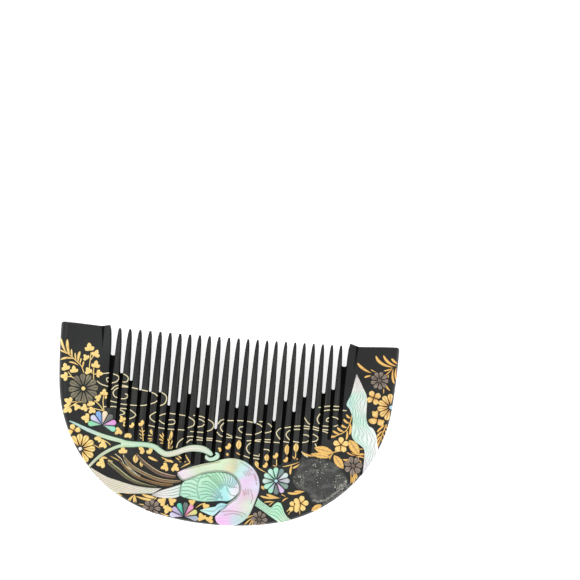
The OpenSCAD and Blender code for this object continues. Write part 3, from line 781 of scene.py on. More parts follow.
def lacquer_finish(colours):
    """Black lacquer: deep and smooth, hazed in patches by handling, with dust and hairline scratches; the hazed patches
    are also painted lighter as a soft reflection.
    """
    f = Finish("black_lacquer", Specular_IOR_Level=0.3, IOR=1.5, Coat_Weight=0.06, Coat_Roughness=0.1)
    haze_and_sheen = f.noise(75, 4)
    fine = f.noise(1500, 4)
    scratch = f.noise(260, 3, f.stretched(28, (1, 14, 1)), 0.4)
    dust = f.span(f.noise(2600, 2), 0.66, 0.78)
    along_tooth = f.noise(2300, 3, f.stretched(0, (1, 0.03, 0.5)))
    at = f.node("SeparateXYZ", {"Vector": f.places}).outputs
    beside = f.node("Math", {0: at["X"]}, operation="ABSOLUTE").outputs[0]
    on_teeth = f.node("Math", {0: f.span(at["Y"], -0.012, -0.002), 1: f.span(beside, 0.0338, 0.0334)},
                      operation="MULTIPLY").outputs[0]
    streaks = f.node("Math", {0: f.span(along_tooth, 0.48, 0.68, 0, 0.75), 1: on_teeth}, operation="MULTIPLY")
    # Painted soft reflection: the haze_and_sheen patches lighten the lacquer towards grey-green.
    base = f.mix(f.span(haze_and_sheen, 0.38, 0.68), colours.lacquer, linear("#232625"))
    base = f.mix(streaks.outputs[0], base, linear("#3c3d37"))
    base = f.mix(f.span(dust, 0, 1, 0, 0.35), base, linear("#5c5a52"))
    rough = f.mix(f.span(scratch, 0.55, 0.75), (0.3,) * 3, (0.45,) * 3)
    rough = f.mix(f.span(haze_and_sheen, 0.4, 0.7), rough, (0.38,) * 3)
    relief = f.bump(fine, 0.012, 0.5, f.bump(scratch, 0.01, 0.5, f.bump(streaks.outputs[0], 0.03, 0.8)))
    return f.set(Base_Color=base, Roughness=rough, Normal=relief)


def sawn_shade_finish():
    """Sides of the teeth: thin dull lacquer over the sawn wood, streaked along the teeth by the saw, and painted nearly
    black as the shade inside the narrow cuts.
    """
    f = Finish("sawn_lacquer_painted_shade", Specular_IOR_Level=0.12)
    streak = f.noise(900, 4, f.stretched(0, (1, 0.12, 3)))
    base = f.mix(f.span(streak, 0.4, 0.75), linear("#060505"), linear("#0e0f0e"))
    rough = f.mix(f.span(streak, 0.35, 0.7), (0.55,) * 3, (0.75,) * 3)
    return f.set(Base_Color=base, Roughness=rough, Normal=f.bump(streak, 0.03, 0.8))


def bare_finish(colours):
    """Ground coat that a lost inlay has left: dull, pitted, with rubbed grey patches."""
    f = Finish("bare_ground", Specular_IOR_Level=0.4)
    patch = f.noise(420, 6, None, 0.6)
    pits = f.noise(3200, 4)
    base = f.mix(f.span(patch, 0.42, 0.66), colours.bare, linear("#62635f"))
    base = f.mix(f.span(pits, 0.58, 0.74, 0, 0.6), base, linear("#9a9992"))
    rough = f.mix(f.span(patch, 0.4, 0.7), (0.62,) * 3, (0.8,) * 3)
    return f.set(Base_Color=base, Roughness=rough, Normal=f.bump(pits, 0.05, 0.9, f.bump(patch, 0.12, 0.9)))


def shell_finish(name, streak_turn, per_metre=420, rose=0.12, green=0.2, white=0.2):
    """Carved mother-of-pearl: its washes of colour come with the piece, crossed by growth lines and by soft
    flashes of rose and green, under a thin clear gloss."""
    f = Finish(name, Specular_IOR_Level=0.45, IOR=1.5, Coat_Weight=0.15, Coat_Roughness=0.08)
    growth = f.noise(per_metre, 4, f.stretched(streak_turn, (1, 7, 1)), 0.8)
    flash = f.noise(150, 3, None, 1.2)
    cloud = f.noise(900, 3)
    base = f.mix(f.span(growth, 0.4, 0.75, 0, white), f.tint(), linear("#ffffff"))
    base = f.mix(f.span(flash, 0.52, 0.72, 0, rose), base, linear("#f3b8ec"))
    base = f.mix(f.span(flash, 0.46, 0.3, 0, green), base, linear("#a8f0d4"))
    base = f.mix(f.span(cloud, 0.55, 0.8, 0, 0.2), base, linear("#a9bdb4"))
    rough = f.mix(f.span(growth, 0.35, 0.7), (0.22,) * 3, (0.36,) * 3)
    return f.set(Base_Color=base, Roughness=rough, Normal=f.bump(growth, 0.03, 0.6, f.bump(cloud, 0.015, 0.5)))


def metal_finish(name, dark, light):
    """Tarnished lead or silver: grey skin over the piece's own tint, pitted and rubbed lighter in places."""
    f = Finish(name, Metallic=0.55, Specular_IOR_Level=0.5)
    skin = f.noise(700, 5, None, 0.5)
    pits = f.noise(3600, 3)
    base = f.mix(f.span(skin, 0.35, 0.7, 0, 0.6), f.tint(), linear(dark))
    base = f.mix(f.span(pits, 0.6, 0.78, 0, 0.5), base, linear(light))
    rough = f.mix(f.span(skin, 0.3, 0.7), (0.42,) * 3, (0.6,) * 3)
    return f.set(Base_Color=base, Roughness=rough, Normal=f.bump(pits, 0.03, 0.8, f.bump(skin, 0.05, 0.7)))


def gold_finish(name):
    """Raised gold lacquer: metal powder in lacquer, so it is grainy and hardly metallic, and it is worn
    brown in small spots."""
    f = Finish(name, Metallic=0.08, Specular_IOR_Level=0.35)
    powder = f.noise(5200, 2)
    wear = f.noise(520, 5, None, 0.6)
    base = f.mix(f.span(powder, 0.35, 0.7, 0, 0.3), f.tint(), linear("#fff0c4"))
    base = f.mix(f.span(wear, 0.6, 0.74, 0, 0.4), base, linear("#a87838"))
    rough = f.mix(f.span(powder, 0.3, 0.7), (0.38,) * 3, (0.58,) * 3)
    return f.set(Base_Color=base, Roughness=rough, Normal=f.bump(powder, 0.02, 0.8, f.bump(wear, 0.03, 0.5)))


def glue_finish():
    """Dried hide glue: chalky and uneven."""
    f = Finish("dried_glue", Specular_IOR_Level=0.3)
    crumb = f.noise(2400, 4)
    base = f.mix(f.span(crumb, 0.35, 0.7, 0, 0.5), f.tint(), linear("#3a3733"))
    rough = f.mix(crumb, (0.6,) * 3, (0.85,) * 3)
    return f.set(Base_Color=base, Roughness=rough, Normal=f.bump(crumb, 0.05, 0.9))


def stage_finish():
    f = Finish("pale_floor", Specular_IOR_Level=0.2)
    grain = f.noise(30, 3)
    base = f.mix(f.span(grain, 0.3, 0.7), linear("#f4f4f3"), linear("#f8f8f8"))
    rough = f.mix(grain, (0.8,) * 3, (0.9,) * 3)
    f.shader.inputs["Emission Strength"].default_value = 0.85
    return f.set(Base_Color=base, Roughness=rough, Emission_Color=base)


# ---- Carved shell ----

# Ruled shapes: points along one edge and the facing points along the other edge
CRANE_BACK = [
    (-24.8, 25.9, -24.1, 25.3), (-21.5, 27.6, -20.9, 22.7), (-16, 29.7, -15.5, 24.4),
    (-10, 31.5, -10, 26.8), (-4, 32.9, -5, 28.1), (2, 34.9, 0, 28.7), (8, 35.6, 4.5, 28.5),
    (14, 34.5, 8.5, 27.2), (19, 31.8, 11.4, 24.7), (22.5, 27.8, 12.9, 22), (24, 23.5, 13.3, 19.7),
    (23.9, 19.5, 12.7, 17.2), (22.9, 16, 11.1, 14.8), (21.7, 12.5, 8.9, 13), (20.6, 9.5, 6.8, 11.3),
    (18.8, 6, 4.7, 9.4), (15.8, 3.1, 2.5, 7.8), (12, 1, 0.8, 6), (7, 0.1, -0.5, 4.4),
    (3.5, 0.2, 0.3, 2.2), (2.4, 0.8, 1, 1.5)
]
CRANE_BILL = [
    (-9.6, 7.4, -9.4, 7), (-7, 8.3, -7, 6.2), (-4, 9.2, -4, 5.3), (-1, 9.8, -1.8, 4.9),
    (0.2, 11, 0.2, 6.4), (2.2, 11.9, 2, 8.1), (4.6, 11.8, 3.9, 9.4), (6, 11.5, 5.6, 11)
]
CRANE_WING = [
    (-21.5, 19.8, -21.8, 14.3), (-20.3, 21.5, -20, 13.4), (-15.5, 23.7, -15.5, 12.6),
    (-10.5, 25.8, -11, 12), (-5, 27.2, -6.5, 12), (0, 27.8, -2, 12.5), (4.5, 27.5, 1.5, 12.9),
    (8.2, 26.2, 4.2, 13), (10.8, 23.8, 6, 13.1), (12.1, 21.5, 7.3, 13.6), (12.4, 19.5, 8.8, 14.5),
    (12, 17.8, 10.3, 15.9)
]
CRANE_PRIMARIES = [
    (-22.2, 19.9, -22.5, 13.5), (-25.5, 18.7, -25.2, 12.6), (-29, 17.5, -29, 12.2),
    (-33, 16.1, -33, 12.2), (-36.3, 14.6, -36.3, 12.6), (-38.6, 13.4, -38.6, 13)
]
CRANE_LEG = [
    (23.7, 16, 22.3, 12), (26.3, 14.2, 24.5, 10.8), (29.5, 12.5, 27.5, 9.3), (31.6, 11.6, 30, 7.9),
    (33.2, 13.2, 32, 6.8), (35.2, 14.6, 33.6, 6), (37.3, 14.2, 35.2, 5.2), (38.6, 12.2, 37, 4),
    (40, 9.3, 39, 3.4), (42, 7.2, 41.5, 3.6), (44.5, 6, 44, 4.2)
]
TAIL_BAND = [
    (-75.3, 25, -78, 21), (-70, 22.6, -72, 15.5), (-65, 20.7, -66, 13), (-60, 19.6, -60, 12.8),
    (-55, 18.5, -54.5, 13.2), (-50, 17.6, -49.5, 13.2), (-45, 17.1, -45, 13.5),
    (-40.5, 16.9, -41.5, 13.8), (-36.5, 17, -39.3, 13.9), (-33.2, 17.1, -37.8, 14.1)
]
WATERFALL = [
    (75.7, 84.3, 76, 84.3), (75, 81, 78.2, 81), (74.3, 77.5, 80, 78), (73.2, 73, 82.5, 74),
    (71.2, 68.4, 83.2, 70), (73.2, 65.8, 83.3, 66), (75.2, 62, 83.5, 62), (75.6, 58.5, 85, 58.3),
    (75.4, 55, 88, 56.6), (75.8, 51.8, 90.2, 53), (78, 49.2, 91, 49), (81, 47.6, 92, 45),
    (83.6, 45.3, 92, 41.5), (84, 41, 91, 38.5), (84, 37, 89.4, 35.3), (83.8, 34, 87, 32.6), (83.5, 31.6, 84.4, 31.4)
]

# Strands: points along the middle, with half the width in hundredths of the half width
PLUMES = [
    [(-49.5, 34, 0.5), (-47, 31.6, 0.9), (-44, 29.3, 1.2), (-40, 27, 1.3), (-35.5, 25, 1.3),
     (-31, 24, 1.2), (-27, 23.6, 1), (-25.3, 23.7, 0.7)],
    [(-56.6, 31.8, 0.7), (-54, 29.3, 0.9), (-51, 27, 1.1), (-47, 25.2, 1.1), (-42, 23.4, 1.1),
     (-37, 21.9, 1.1), (-32, 21.2, 1.1), (-27, 21.1, 1), (-23.2, 21.5, 0.6), (-22.1, 21.7, 0.3)],
    [(-59.5, 29.8, 0.4), (-57, 28, 0.6), (-54, 25.4, 0.8), (-51, 23.4, 0.8), (-47.5, 21.9, 0.9),
     (-43, 20.7, 0.8), (-38, 19.7, 0.9), (-33, 19.1, 0.9), (-29, 19.1, 0.8), (-26.4, 19.6, 0.4)],
    [(-65.5, 28.6, 1.2), (-63, 27, 1.3), (-59, 24.6, 1.3), (-55, 22.1, 1.3), (-51, 20.2, 1.1),
     (-46.5, 18.9, 0.9), (-42, 18.2, 0.6), (-38, 17.8, 0.4), (-35.8, 17.6, 0.2)],
]
RIBBON_MAIN = [
    (-5, 36.3, 0.8), (-6.6, 37.4, 1.5), (-10, 38.9, 1.9), (-14, 39.3, 2), (-18, 39, 1.9),
    (-22, 37.9, 1.7), (-26, 36.3, 1.7), (-30, 35.2, 1.7), (-33, 35.2, 1.7), (-36, 36.5, 1.7),
    (-39, 38.2, 1.6), (-43, 39, 1.5), (-48, 39, 1.5), (-53, 38.7, 1.8), (-59, 38.8, 2.2)
]
RIBBON_UPPER = [
    (-55, 39.2, 1.2), (-60, 40.2, 1.2), (-65, 41, 1.3), (-70, 42, 1.2), (-75, 43.3, 1.15),
    (-80, 44.8, 1.1), (-85, 46.6, 0.8), (-88, 47.7, 0.6), (-90.3, 48.3, 0.3)
]
RIBBON_LOWER = [
    (-55, 38.2, 1.1), (-60, 37.2, 1), (-65, 35, 1), (-70, 31.9, 0.95), (-73, 29.3, 0.9),
    (-75.5, 26.6, 0.8), (-78, 23.6, 0.7)
]
RIBBON_KNOT = [
    (-8.6, 36.1, 0.5), (-8.1, 34.8, 1.1), (-6.3, 34.1, 1.1), (-4.2, 34.5, 1.2), (-2.3, 35.6, 1.4),
    (-2, 36.9, 1.1), (-3.3, 37.9, 0.4)
]

# Grooves between the feathers of the back and the wing
BACK_GROOVES = [
    [(-20, 28), (-12, 30.3), (-5, 32.2), (0, 33.3)], [(3, 7.4), (6, 8), (10, 8.2), (13, 8), (16, 7.4), (17.5, 6.6)],
    [(5, 5.8), (9, 6.8), (13, 6.8), (16, 5.5)], [(0, 5.5), (2, 8.5), (4, 10.3)], [(14, 29), (16, 27)],
    [(15.5, 29.5), (17.5, 27.3)], [(17, 29.8), (18.8, 27.5)], [(20, 28.5), (21.5, 25.5), (22.5, 22.8)],
    [(21, 28), (22.2, 25)], [(14.5, 19.5), (16, 17.2)], [(16, 20), (17, 17.5)], [(17.5, 20.2), (18.2, 17.5)],
    [(19, 20), (20.5, 16.5), (20, 13)], [(12, 34), (16, 32), (19, 30)],
]
WING_GROOVES = [
    [(-9, 26.5), (-11, 24), (-12, 21), (-12.3, 18), (-11.5, 15.5), (-10, 13)], [(-19, 22.5), (-15, 23), (-12.2, 22)],
    [(-20, 20.7), (-16, 20.9), (-12.8, 19.8)], [(-21, 18.7), (-17, 19), (-13, 18)],
    [(-21.3, 16.8), (-17, 17), (-13, 16)], [(-21, 15), (-18, 15.2), (-16, 14.9)],
    [(-18.5, 13.3), (-16, 14.2), (-12, 14.1), (-10.5, 13.3)], [(-16, 23.6), (-13, 24), (-11, 23.5)],
    [(-10, 24.2), (-7, 25.3), (-4.5, 24), (-2, 22.3), (0, 20.5), (1.3, 18.8)],
    [(-9.5, 22), (-6.5, 22.5), (-4, 21.5), (-1.5, 19.8), (0.5, 18), (2, 16.5)],
    [(-10, 21), (-7, 21), (-4, 20), (-1, 18), (1.5, 16), (3, 14.8)],
    [(-11.5, 19), (-8, 19.3), (-5, 18.7), (-2, 17.3), (0.5, 15.8), (3, 14)],
    [(-11.3, 16.5), (-8, 17.5), (-5, 17.4), (-2, 16.4), (1, 14.6)],
    [(-10, 15.3), (-6, 15.9), (-3, 15.4), (0.5, 14.2)], [(-9, 13.2), (-6, 14.8), (-3, 14.8), (0, 14)],
    [(-6, 13), (-3, 13.6), (0, 13.3)], [(-8.5, 26.3), (-6, 25.7), (-3, 24.3), (0, 21.8), (2.2, 19.3)],
    [(-6.5, 27.4), (-4, 26.5), (-1.2, 24.3), (1, 22), (2.8, 20)], [(-4, 28), (-1.5, 26.3), (0.8, 24), (3, 20.8)],
    [(-1.3, 28.3), (0.8, 26.7), (2.4, 24.5), (3.6, 21.3)], [(1.3, 28.3), (3, 26.3), (4, 23.8), (4.3, 21.2)],
    [(3.6, 28.2), (5, 26), (5.4, 23.5), (5, 21)], [(5.8, 27.8), (6.7, 25.6), (6.6, 23.3), (5.8, 21)],
    [(7.5, 27), (8.3, 25), (7.8, 22.7), (6.5, 20.8)], [(9.5, 25.8), (9.5, 23.7), (8.5, 21.8), (7.2, 20.6)],
    [(10.7, 24.5), (10.3, 22.6), (9, 21)], [(5, 20.5), (6, 18.3), (7.8, 16.6), (10, 16.2)],
    [(6, 20.8), (8, 20.5), (10.5, 20.8)]
]

# Touches of colour: place, reach in millimetres and colour
BACK_TINTS = [
    (-23, 25.5, 1.2, "#ead8e6"), (-19, 25, 2, "#e9e2e4"), (-11, 28.5, 2.6, "#d6e6c4"), (-5, 31, 2, "#dfeacb"),
    (1, 33, 2.4, "#d3efc4"), (5, 31, 1.2, "#e6dcae"), (9, 32.5, 1.4, "#c9c79a"), (12.5, 33, 1.2, "#c6ecd6"),
    (14, 30.5, 1.6, "#c2eef0"), (18.5, 29, 1.6, "#d8d4e8"), (19, 26, 1.6, "#ecc9ec"), (22, 23, 1.8, "#dfe4f8"),
    (18, 22, 1.6, "#efcdf0"), (20, 18, 1.6, "#e8d2e8"), (17, 16.5, 1.2, "#e3b8c8"), (20.5, 12, 1.6, "#dcebdc"),
    (16, 11, 1.8, "#e2e2d4"), (13, 15, 1.2, "#eec3e6"), (11, 9.5, 1.8, "#f0d4ee"), (6, 6.5, 1.6, "#e6cdea"),
    (5, 2.5, 1.8, "#f7bff4"), (11, 4, 1.6, "#c4dce4"), (16, 5.5, 1.4, "#b9e2d4"), (2, 8.5, 1.2, "#c2d8ea")
]
WING_TINTS = [
    (-20, 18, 2, "#bcecd0"), (-15, 22, 2.5, "#c6f0d4"), (-15, 14.5, 2, "#b6e8cc"), (-9, 22, 2.5, "#b8ecc8"),
    (-7, 17, 2.5, "#ace8cc"), (-1, 25, 2.2, "#b6ecc4"), (2, 16, 1.6, "#a6f0ee"), (4.5, 25.5, 1.6, "#c2efd8"),
    (8, 23, 1.6, "#c4ecf2"), (9.5, 18.5, 1.5, "#f0f2f4"), (11.5, 20, 1.2, "#ecd4ee"), (4.5, 20, 1.4, "#aef2f0"),
    (3, 13.5, 1.4, "#a2ecec")
]
PRIMARY_TINTS = [(-23.5, 16, 2, "#dcefe4"), (-28, 15, 2, "#eff3ee"), (-33, 14, 2, "#f6f4f0"), (-37, 13.5, 2, "#ece8e0")]
BILL_TINTS = [(-8, 7, 1.5, "#d8fbf8"), (-3, 7, 1.5, "#c0f4f2"), (3, 10.5, 1.5, "#a8e8ee")]
LEG_TINTS = [(24, 13, 2, "#c2f2d2"), (30, 10, 2, "#cef8dc"), (35, 10, 2, "#b8f4cc"), (42, 5.5, 2, "#e8f6dc")]
BAND_TINTS = [
    (-76, 22, 2.5, "#e3d8c4"), (-68, 18, 3, "#ebe6d2"), (-60, 16, 3, "#e6e0c8"), (-52, 15.5, 3, "#ebe8d4"),
    (-45, 15.5, 2.5, "#dde4cc"), (-40, 15.3, 1.5, "#e4e4d8")
]
FALL_TINTS = [
    (76, 83, 1.4, "#fff0f4"), (76, 79, 1.8, "#f4f2ec"), (73, 69, 1.5, "#bfe6dc"), (77.5, 70, 2, "#d3f2e0"),
    (81.5, 68, 2, "#f2f4ee"), (79, 60, 2.4, "#d0f0de"), (77, 53, 2, "#d8f3e6"), (83, 55, 1.6, "#e9f7f0"),
    (88, 53, 1.8, "#fbfcfa"), (83, 47.5, 1.6, "#eefaf4"), (88, 45, 2.2, "#fbfafa"), (86, 38, 2, "#f8f5f6"),
    (85, 33, 2, "#f4efef")
]
RIBBON_TINTS = [
    (-4, 36, 1.6, "#d2f0da"), (-9, 38.5, 2, "#e6ead6"), (-15, 39, 3, "#eeebda"), (-24, 37, 3, "#f1e8d8"),
    (-33, 35, 3, "#ece6cd"), (-38, 38, 1.8, "#c8ecd0"), (-46, 39, 2.6, "#cdeccf"), (-56, 39, 3, "#d8eecb"),
    (-68, 41.5, 3, "#dfeed2"), (-80, 45, 3, "#cfeae0"), (-89, 48, 2, "#bfe6e6"), (-66, 34, 3, "#d9e2bd"),
    (-71, 30.5, 2.5, "#d3d8b6"), (-77, 25, 2, "#e6dfc4")
]

# Share of each colour that the grooves and edges keep where painted shade darkens them towards brown
BROWN_SHADE_INK = (0.66, 0.5, 0.42)

# Colours across each plume, from its lower edge to its upper one: the shell's brown stripes, with a dark lower edge as
# painted shade and a pale band under the upper edge as painted highlight
PLUME_SHARES = (0, 0.18, 0.4, 0.55, 0.7, 0.88, 1)
PLUME_BANDS = (
    ("#2c2018", "#7c5c46", "#946c50", "#3c241a", "#8e6448", "#e0c4a0", "#7a604a"),
    ("#33231a", "#a88058", "#c8a47c", "#40281c", "#94744c", "#dcc294", "#74664a"),
    ("#2a2014", "#86683e", "#b08a58", "#3c2818", "#a0683c", "#e0b684", "#6c5236"),
    ("#2e2c24", "#75684c", "#8c7a50", "#463c24", "#8a8450", "#d8d6a8", "#84845c"),
)


def ruled(rows, long, wide):
    """Grid over a ruled shape: smooth curves along both edges, joined by straight lines whose points crowd
    towards the edges. With it go each point's distance from the edge and its share of the way across."""
    even = smooth(rows, long)
    a, b = place(even[:, :2]), place(even[:, 2:4])
    s = soft_steps(wide)
    grid = a[:, None] + (b - a)[:, None] * s[None, :, None]
    width = np.hypot(*(b - a).T)[:, None]
    gone = gone_along((a + b) / 2)[:, None]
    edge = np.minimum(width * np.minimum(s, 1 - s), np.minimum(gone, gone[-1] - gone) + 0.02)
    return grid[..., 0], grid[..., 1], edge, np.broadcast_to(s, edge.shape)


def band(rows, long, wide):
    """Grid over a strand: its smooth middle curve, spread to both sides by its half width."""
    even = smooth(rows, long)
    middle = place(even[:, :2])
    half = (even[:, 2] / 100 * HALF_WIDE)[:, None]
    side = across_of(middle)
    s = soft_steps(wide) * 2 - 1
    grid = middle[:, None] + side[:, None] * (half * s)[..., None]
    gone = gone_along(middle)[:, None]
    edge = np.minimum(half * (1 - np.abs(s)), np.minimum(gone, gone[-1] - gone) + 0.02)
    return grid[..., 0], grid[..., 1], edge, np.broadcast_to((s + 1) / 2, edge.shape)


def silk(grid):
    """The ribbon's colours: its washes along the middle, running to green at both edges."""
    x, y, _, share = grid
    middle = washes(x, y, RIBBON_TINTS)
    side = (np.abs(2 * share - 1) ** 2.5)[..., None]
    return middle * (1 - side) + middle * np.array(linear("#b2dcc0")) * side


def stripes(share, count, wide):
    """Grooves that run along a shape, count of them, evenly spread over its width."""
    from_groove = np.abs((share * (count + 1) + 0.5) % 1 - 0.5)
    inside = np.clip(np.minimum(share, 1 - share) * (count + 1) * 2 - 1, 0, 1)
    return np.exp(-((from_groove / wide) ** 2)) * inside


def carve(build, face, grid, thick, cuts, tint, reach=0.6, deep=0.24, foot=0.3, ink=(0.3, 0.46, 0.38), rim=0.7,
          seed=1):
    """Adds a carved plate: full height over its middle, rounded down to a foot at its edge, with grooves cut
    into it (cuts is one in a groove's middle). Grooves and edges keep only ink's share of the colour:
    painted shade in the grooves and along the rounded edge."""
    x, y, edge, _ = grid
    lift = thick * (foot + (1 - foot) * rounded(edge, reach)) - deep * cuts + 0.025 * lumps(x, y, 2.4, seed)
    # Painted shade: darker in the grooves and, by rim's share, towards the edge.
    dark = np.maximum(np.clip(cuts, 0, 1), rim * (1 - rounded(edge, 0.2)))[..., None]
    build.plaque(face, x, y, np.clip(lift, 0.06, thick), tint * (1 - dark * (1 - np.array(ink))))


def carved(face, grid, cuts, tint, **how):
    """A build that holds one carved plate of shell."""
    build = Build()
    carve(build, face, grid, face.sizes.shell, cuts, tint, **how)
    return build


# ---- Flowers and leaves ----

# Radii of the flowers are hundredths of this length
BLOOM = min(HALF_WIDE, 0.89 * DEPTH)

# Flowers: middle, radius, petals, turn of the first and the range they fill in degrees, fullness
SHELL_LEFT = (-70.8, 47.6, 8.4, 7, -16, 194, 0.96)
SHELL_RIGHT = (33.5, 25.6, 8, 12, 5, 330, 0.97)
SHELL_LOW = (-18.8, 3.4, 8.4, 7, -4, 180, 0.94)
LEAD_LEFT = (-83.6, 65.8, 8.8, 12, 8, 330, 0.98)
LEAD_SMALL = (
    ("lead_flower_top", (89.5, 82, 5.3, 9, 0, 320, 0.95)), ("lead_flower_right", (77.9, 36.6, 5.5, 7, 10, 309, 0.97)),
    ("lead_flower_low_left", (-38, 6.4, 5.3, 8, 0, 315, 0.95)),
    ("lead_flower_low_right", (25.4, 5, 4.8, 8, 0, 315, 0.95)),
)
MUM_LEFT = (-82.5, 34.3, 8.8, 7, -58, 186, 0.98)
MUM_RIGHT = (97.4, 68.5, 8, 6, 98, 155, 0.98)
BLOSSOMS = (
    ("gold_blossom_rim", "gold", [(-87.2, 43.4, 4.1, 3, 18, 185, 0.95)]),
    ("gold_blossom_top", "orange", [(86.9, 72.8, 4.4, 4, 30, 270, 0.95)]),
    ("gold_blossom_mid", "orange", [(90.2, 62.2, 4.6, 3, 128, 180, 0.95)]),
    ("gold_blossom_right", "gold", [(69.8, 46.9, 4.7, 5, 20, 288, 0.97)]),
    ("gold_blossom_low", "gold", [(49, 14.9, 4.6, 5, 10, 288, 0.97), (45.3, 12.9, 3.7, 4, 40, 270, 0.95)]),
)

# Leaves: root, tip and half the width in hundredths of the half width
LEAVES = [
    (74.2, 50, 81, 42.6, 2.7), (54.2, 44.4, 66, 42.4, 2.4), (52.2, 41, 65, 40.2, 1.6),
    (66, 41.4, 72.4, 34.6, 2.3), (55.4, 11.4, 61.4, 15.2, 1.7), (78.4, 27, 79.4, 33.2, 1)
]

# Colours of the shell petals, in the order of their turns, from the petal's root to its tip
LEFT_PETALS = (
    ("#a4c4b4", "#8ce4c0"), ("#e0b4dc", "#e69cdf"), ("#5c5e60", "#62665f"), ("#f0d4d4", "#f6e2bc"),
    ("#7c98c0", "#7ab0ea"), ("#a4a8d0", "#dcd8f2"), ("#a8d8b8", "#8ee0b0")
)
RIGHT_PETALS = (
    ("#b4b4c0", "#c0c8cc"), ("#c8c0d8", "#d2e8e0"), ("#6c7c7c", "#74908c"), ("#a8d8c4", "#b0ecd0"),
    ("#8cd4b0", "#c4f0dc"), ("#98c8b4", "#bcecd8"), ("#7c9c94", "#cfe8de"), ("#a4d8c4", "#b0eccf"),
    ("#c8b8dc", "#9fe4c6"), ("#646c70", "#70807c"), ("#e0b8d8", "#dcc4e8"), ("#6c8c80", "#84a494")
)
LOW_PETALS = (
    ("#8c90a4", "#a9b6c8"), ("#e89cac", "#dfe07c"), ("#d888b0", "#ee8ec0"), ("#48504c", "#5c6460"),
    ("#3fa48c", "#58ceb2"), ("#a494bc", "#c4b0d8"), ("#b8acd0", "#dcd0ee")
)


def flower_petals(flower, start_share):
    """Where a flower's petals start and end, half their width, and their turns in degrees."""
    _, _, size, count, turn, span, full = flower
    outer = size / 100 * BLOOM
    s = np.sin(np.radians(min(span / (count - 1), 90) / 2))
    half = (outer * s - 0.04) / (1 + s) * full
    return outer * start_share, outer, half, turn + span * np.arange(count) / (count - 1)


def petal_grid(start, end, half, long, wide):
    """Grid over a petal along X: two straight sides from its root that touch its round end."""
    middle = end - half
    touch = middle - half * half / (middle - start)
    d = start + (end - start) * np.sin(np.linspace(0, np.pi / 2, long))
    d[-1] = end - 1e-3
    tangent = half / np.sqrt((middle - start) ** 2 - half**2)
    reach = np.where(d < touch, (d - start) * tangent, np.sqrt(np.clip(half**2 - (d - middle) ** 2, 0, None)))
    reach = np.maximum(reach, 0.02)[:, None]
    v = soft_steps(wide) * 2 - 1
    edge = np.minimum(reach * (1 - np.abs(v)), np.minimum(d[:, None] - start, end - d[:, None]) + 0.01)
    return np.broadcast_to(d[:, None], (long, wide)), reach * v, edge


def laid(middle, turn, along, across):
    """Places along and across a direction from a middle."""
    c, s = np.cos(np.radians(turn)), np.sin(np.radians(turn))
    return middle[0] + along * c - across * s, middle[1] + along * s + across * c


def bloom(build, face, flower, thick, tints, start_share=0.1, rib=0, notch=0, dome=0.5, crease=None, long=16, wide=11):
    """Adds a flower's petals. Each is domed, may have ribs along it and a notch at its end, and takes the next
    of the tints from its root to its tip. Its edges, ribs and notches are darkened as painted shade: towards
    crease where it is given, else towards a darker copy of its tint."""
    start, end, half, turns = flower_petals(flower, start_share)
    middle = place(flower[:2])
    d, across, edge = petal_grid(start, end, half, long, wide)
    share = (d - start) / (end - start)
    side = across / np.maximum(half, 1e-6)
    cuts = np.zeros(d.shape)
    if rib:
        cuts = np.maximum(cuts, groove(np.abs(across), rib))
    if notch:
        cuts = np.maximum(cuts, groove(across, 0.1 + 0.02 * half) * np.clip((share - 1 + notch) / notch, 0, 1))
    lift = thick * (0.3 + 0.7 * rounded(edge, dome * half)) - 0.3 * thick * cuts
    lift = lift * (0.72 + 0.28 * np.clip(share * 2.2, 0, 1)) - 0.06 * side**2 * thick
    # Painted shade in the ribs and notches and along the petal edges.
    dark = np.clip(0.75 * cuts + 0.6 * (1 - rounded(edge, 0.12)), 0, 1)[..., None]
    for i, turn in enumerate(turns):
        x, y = laid(middle, turn, d, across)
        near, far = (np.array(c) for c in tints[i % len(tints)])
        tint = near + (far - near) * np.clip(share * 1.3, 0, 1)[..., None]
        low = tint * 0.45 if crease is None else np.array(crease)
        build.plaque(face, x, y, np.clip(lift, 0.05, thick), tint * (1 - dark) + low * dark)


def button(build, face, middle, radius, thick, tint, rings=8, around=24):
    """A low dome: circles round a middle whose height falls like a quarter ellipse."""
    share = np.linspace(0.02, 1, rings)[:, None]
    turn = np.linspace(0, 2 * np.pi, around + 1)[None]
    x = middle[0] + radius * share * np.cos(turn)
    y = middle[1] + radius * share * np.sin(turn)
    lift = thick * (0.35 + 0.65 * np.sqrt(1 - 0.98 * share**2)) + 0 * turn
    build.plaque(face, x, y, lift, tint)


def leaf_blade(build, face, row, thick, tint, crease, veins=4, long=24, wide=13, toothed=False):
    """A leaf: its half width is that of two arcs that meet at root and tip; a groove runs down its middle and
    slanting veins leave it."""
    root, tip = place(row[:2]), place(row[2:4])
    length_mm, half = np.hypot(*(tip - root)), row[4] / 100 * HALF_WIDE
    t = soft_steps(long)[:, None]
    v = (soft_steps(wide) * 2 - 1)[None]
    reach = np.maximum(half * 4 * t * (1 - t), 0.02)
    along, across = t * length_mm + 0 * v, reach * v
    edge = reach * (1 - np.abs(v))
    cuts = groove(across, 0.09)
    if veins:
        slant = (along - np.abs(across) * 0.9) / length_mm * (veins + 1)
        cuts = np.maximum(cuts, 0.7 * groove((slant + 0.5) % 1 - 0.5, 0.12))
    lift = thick * (0.3 + 0.7 * rounded(edge, 0.6 * half)) - 0.3 * thick * cuts
    # Painted shade: darker in the middle groove and the veins and along the edges, towards crease.
    dark = np.clip(0.8 * cuts + 0.5 * (1 - rounded(edge, 0.18)), 0, 1)[..., None]
    turn = np.degrees(turn_of(tip - root))
    x, y = laid(root, turn, along, across)
    if toothed:
        x, _ = in_tooth(face, x, y)
    build.plaque(face, x, y, np.clip(lift, 0.04, thick), np.array(tint) * (1 - dark) + np.array(crease) * dark,
                 toothed)


# ---- Gold lines and sprays ----

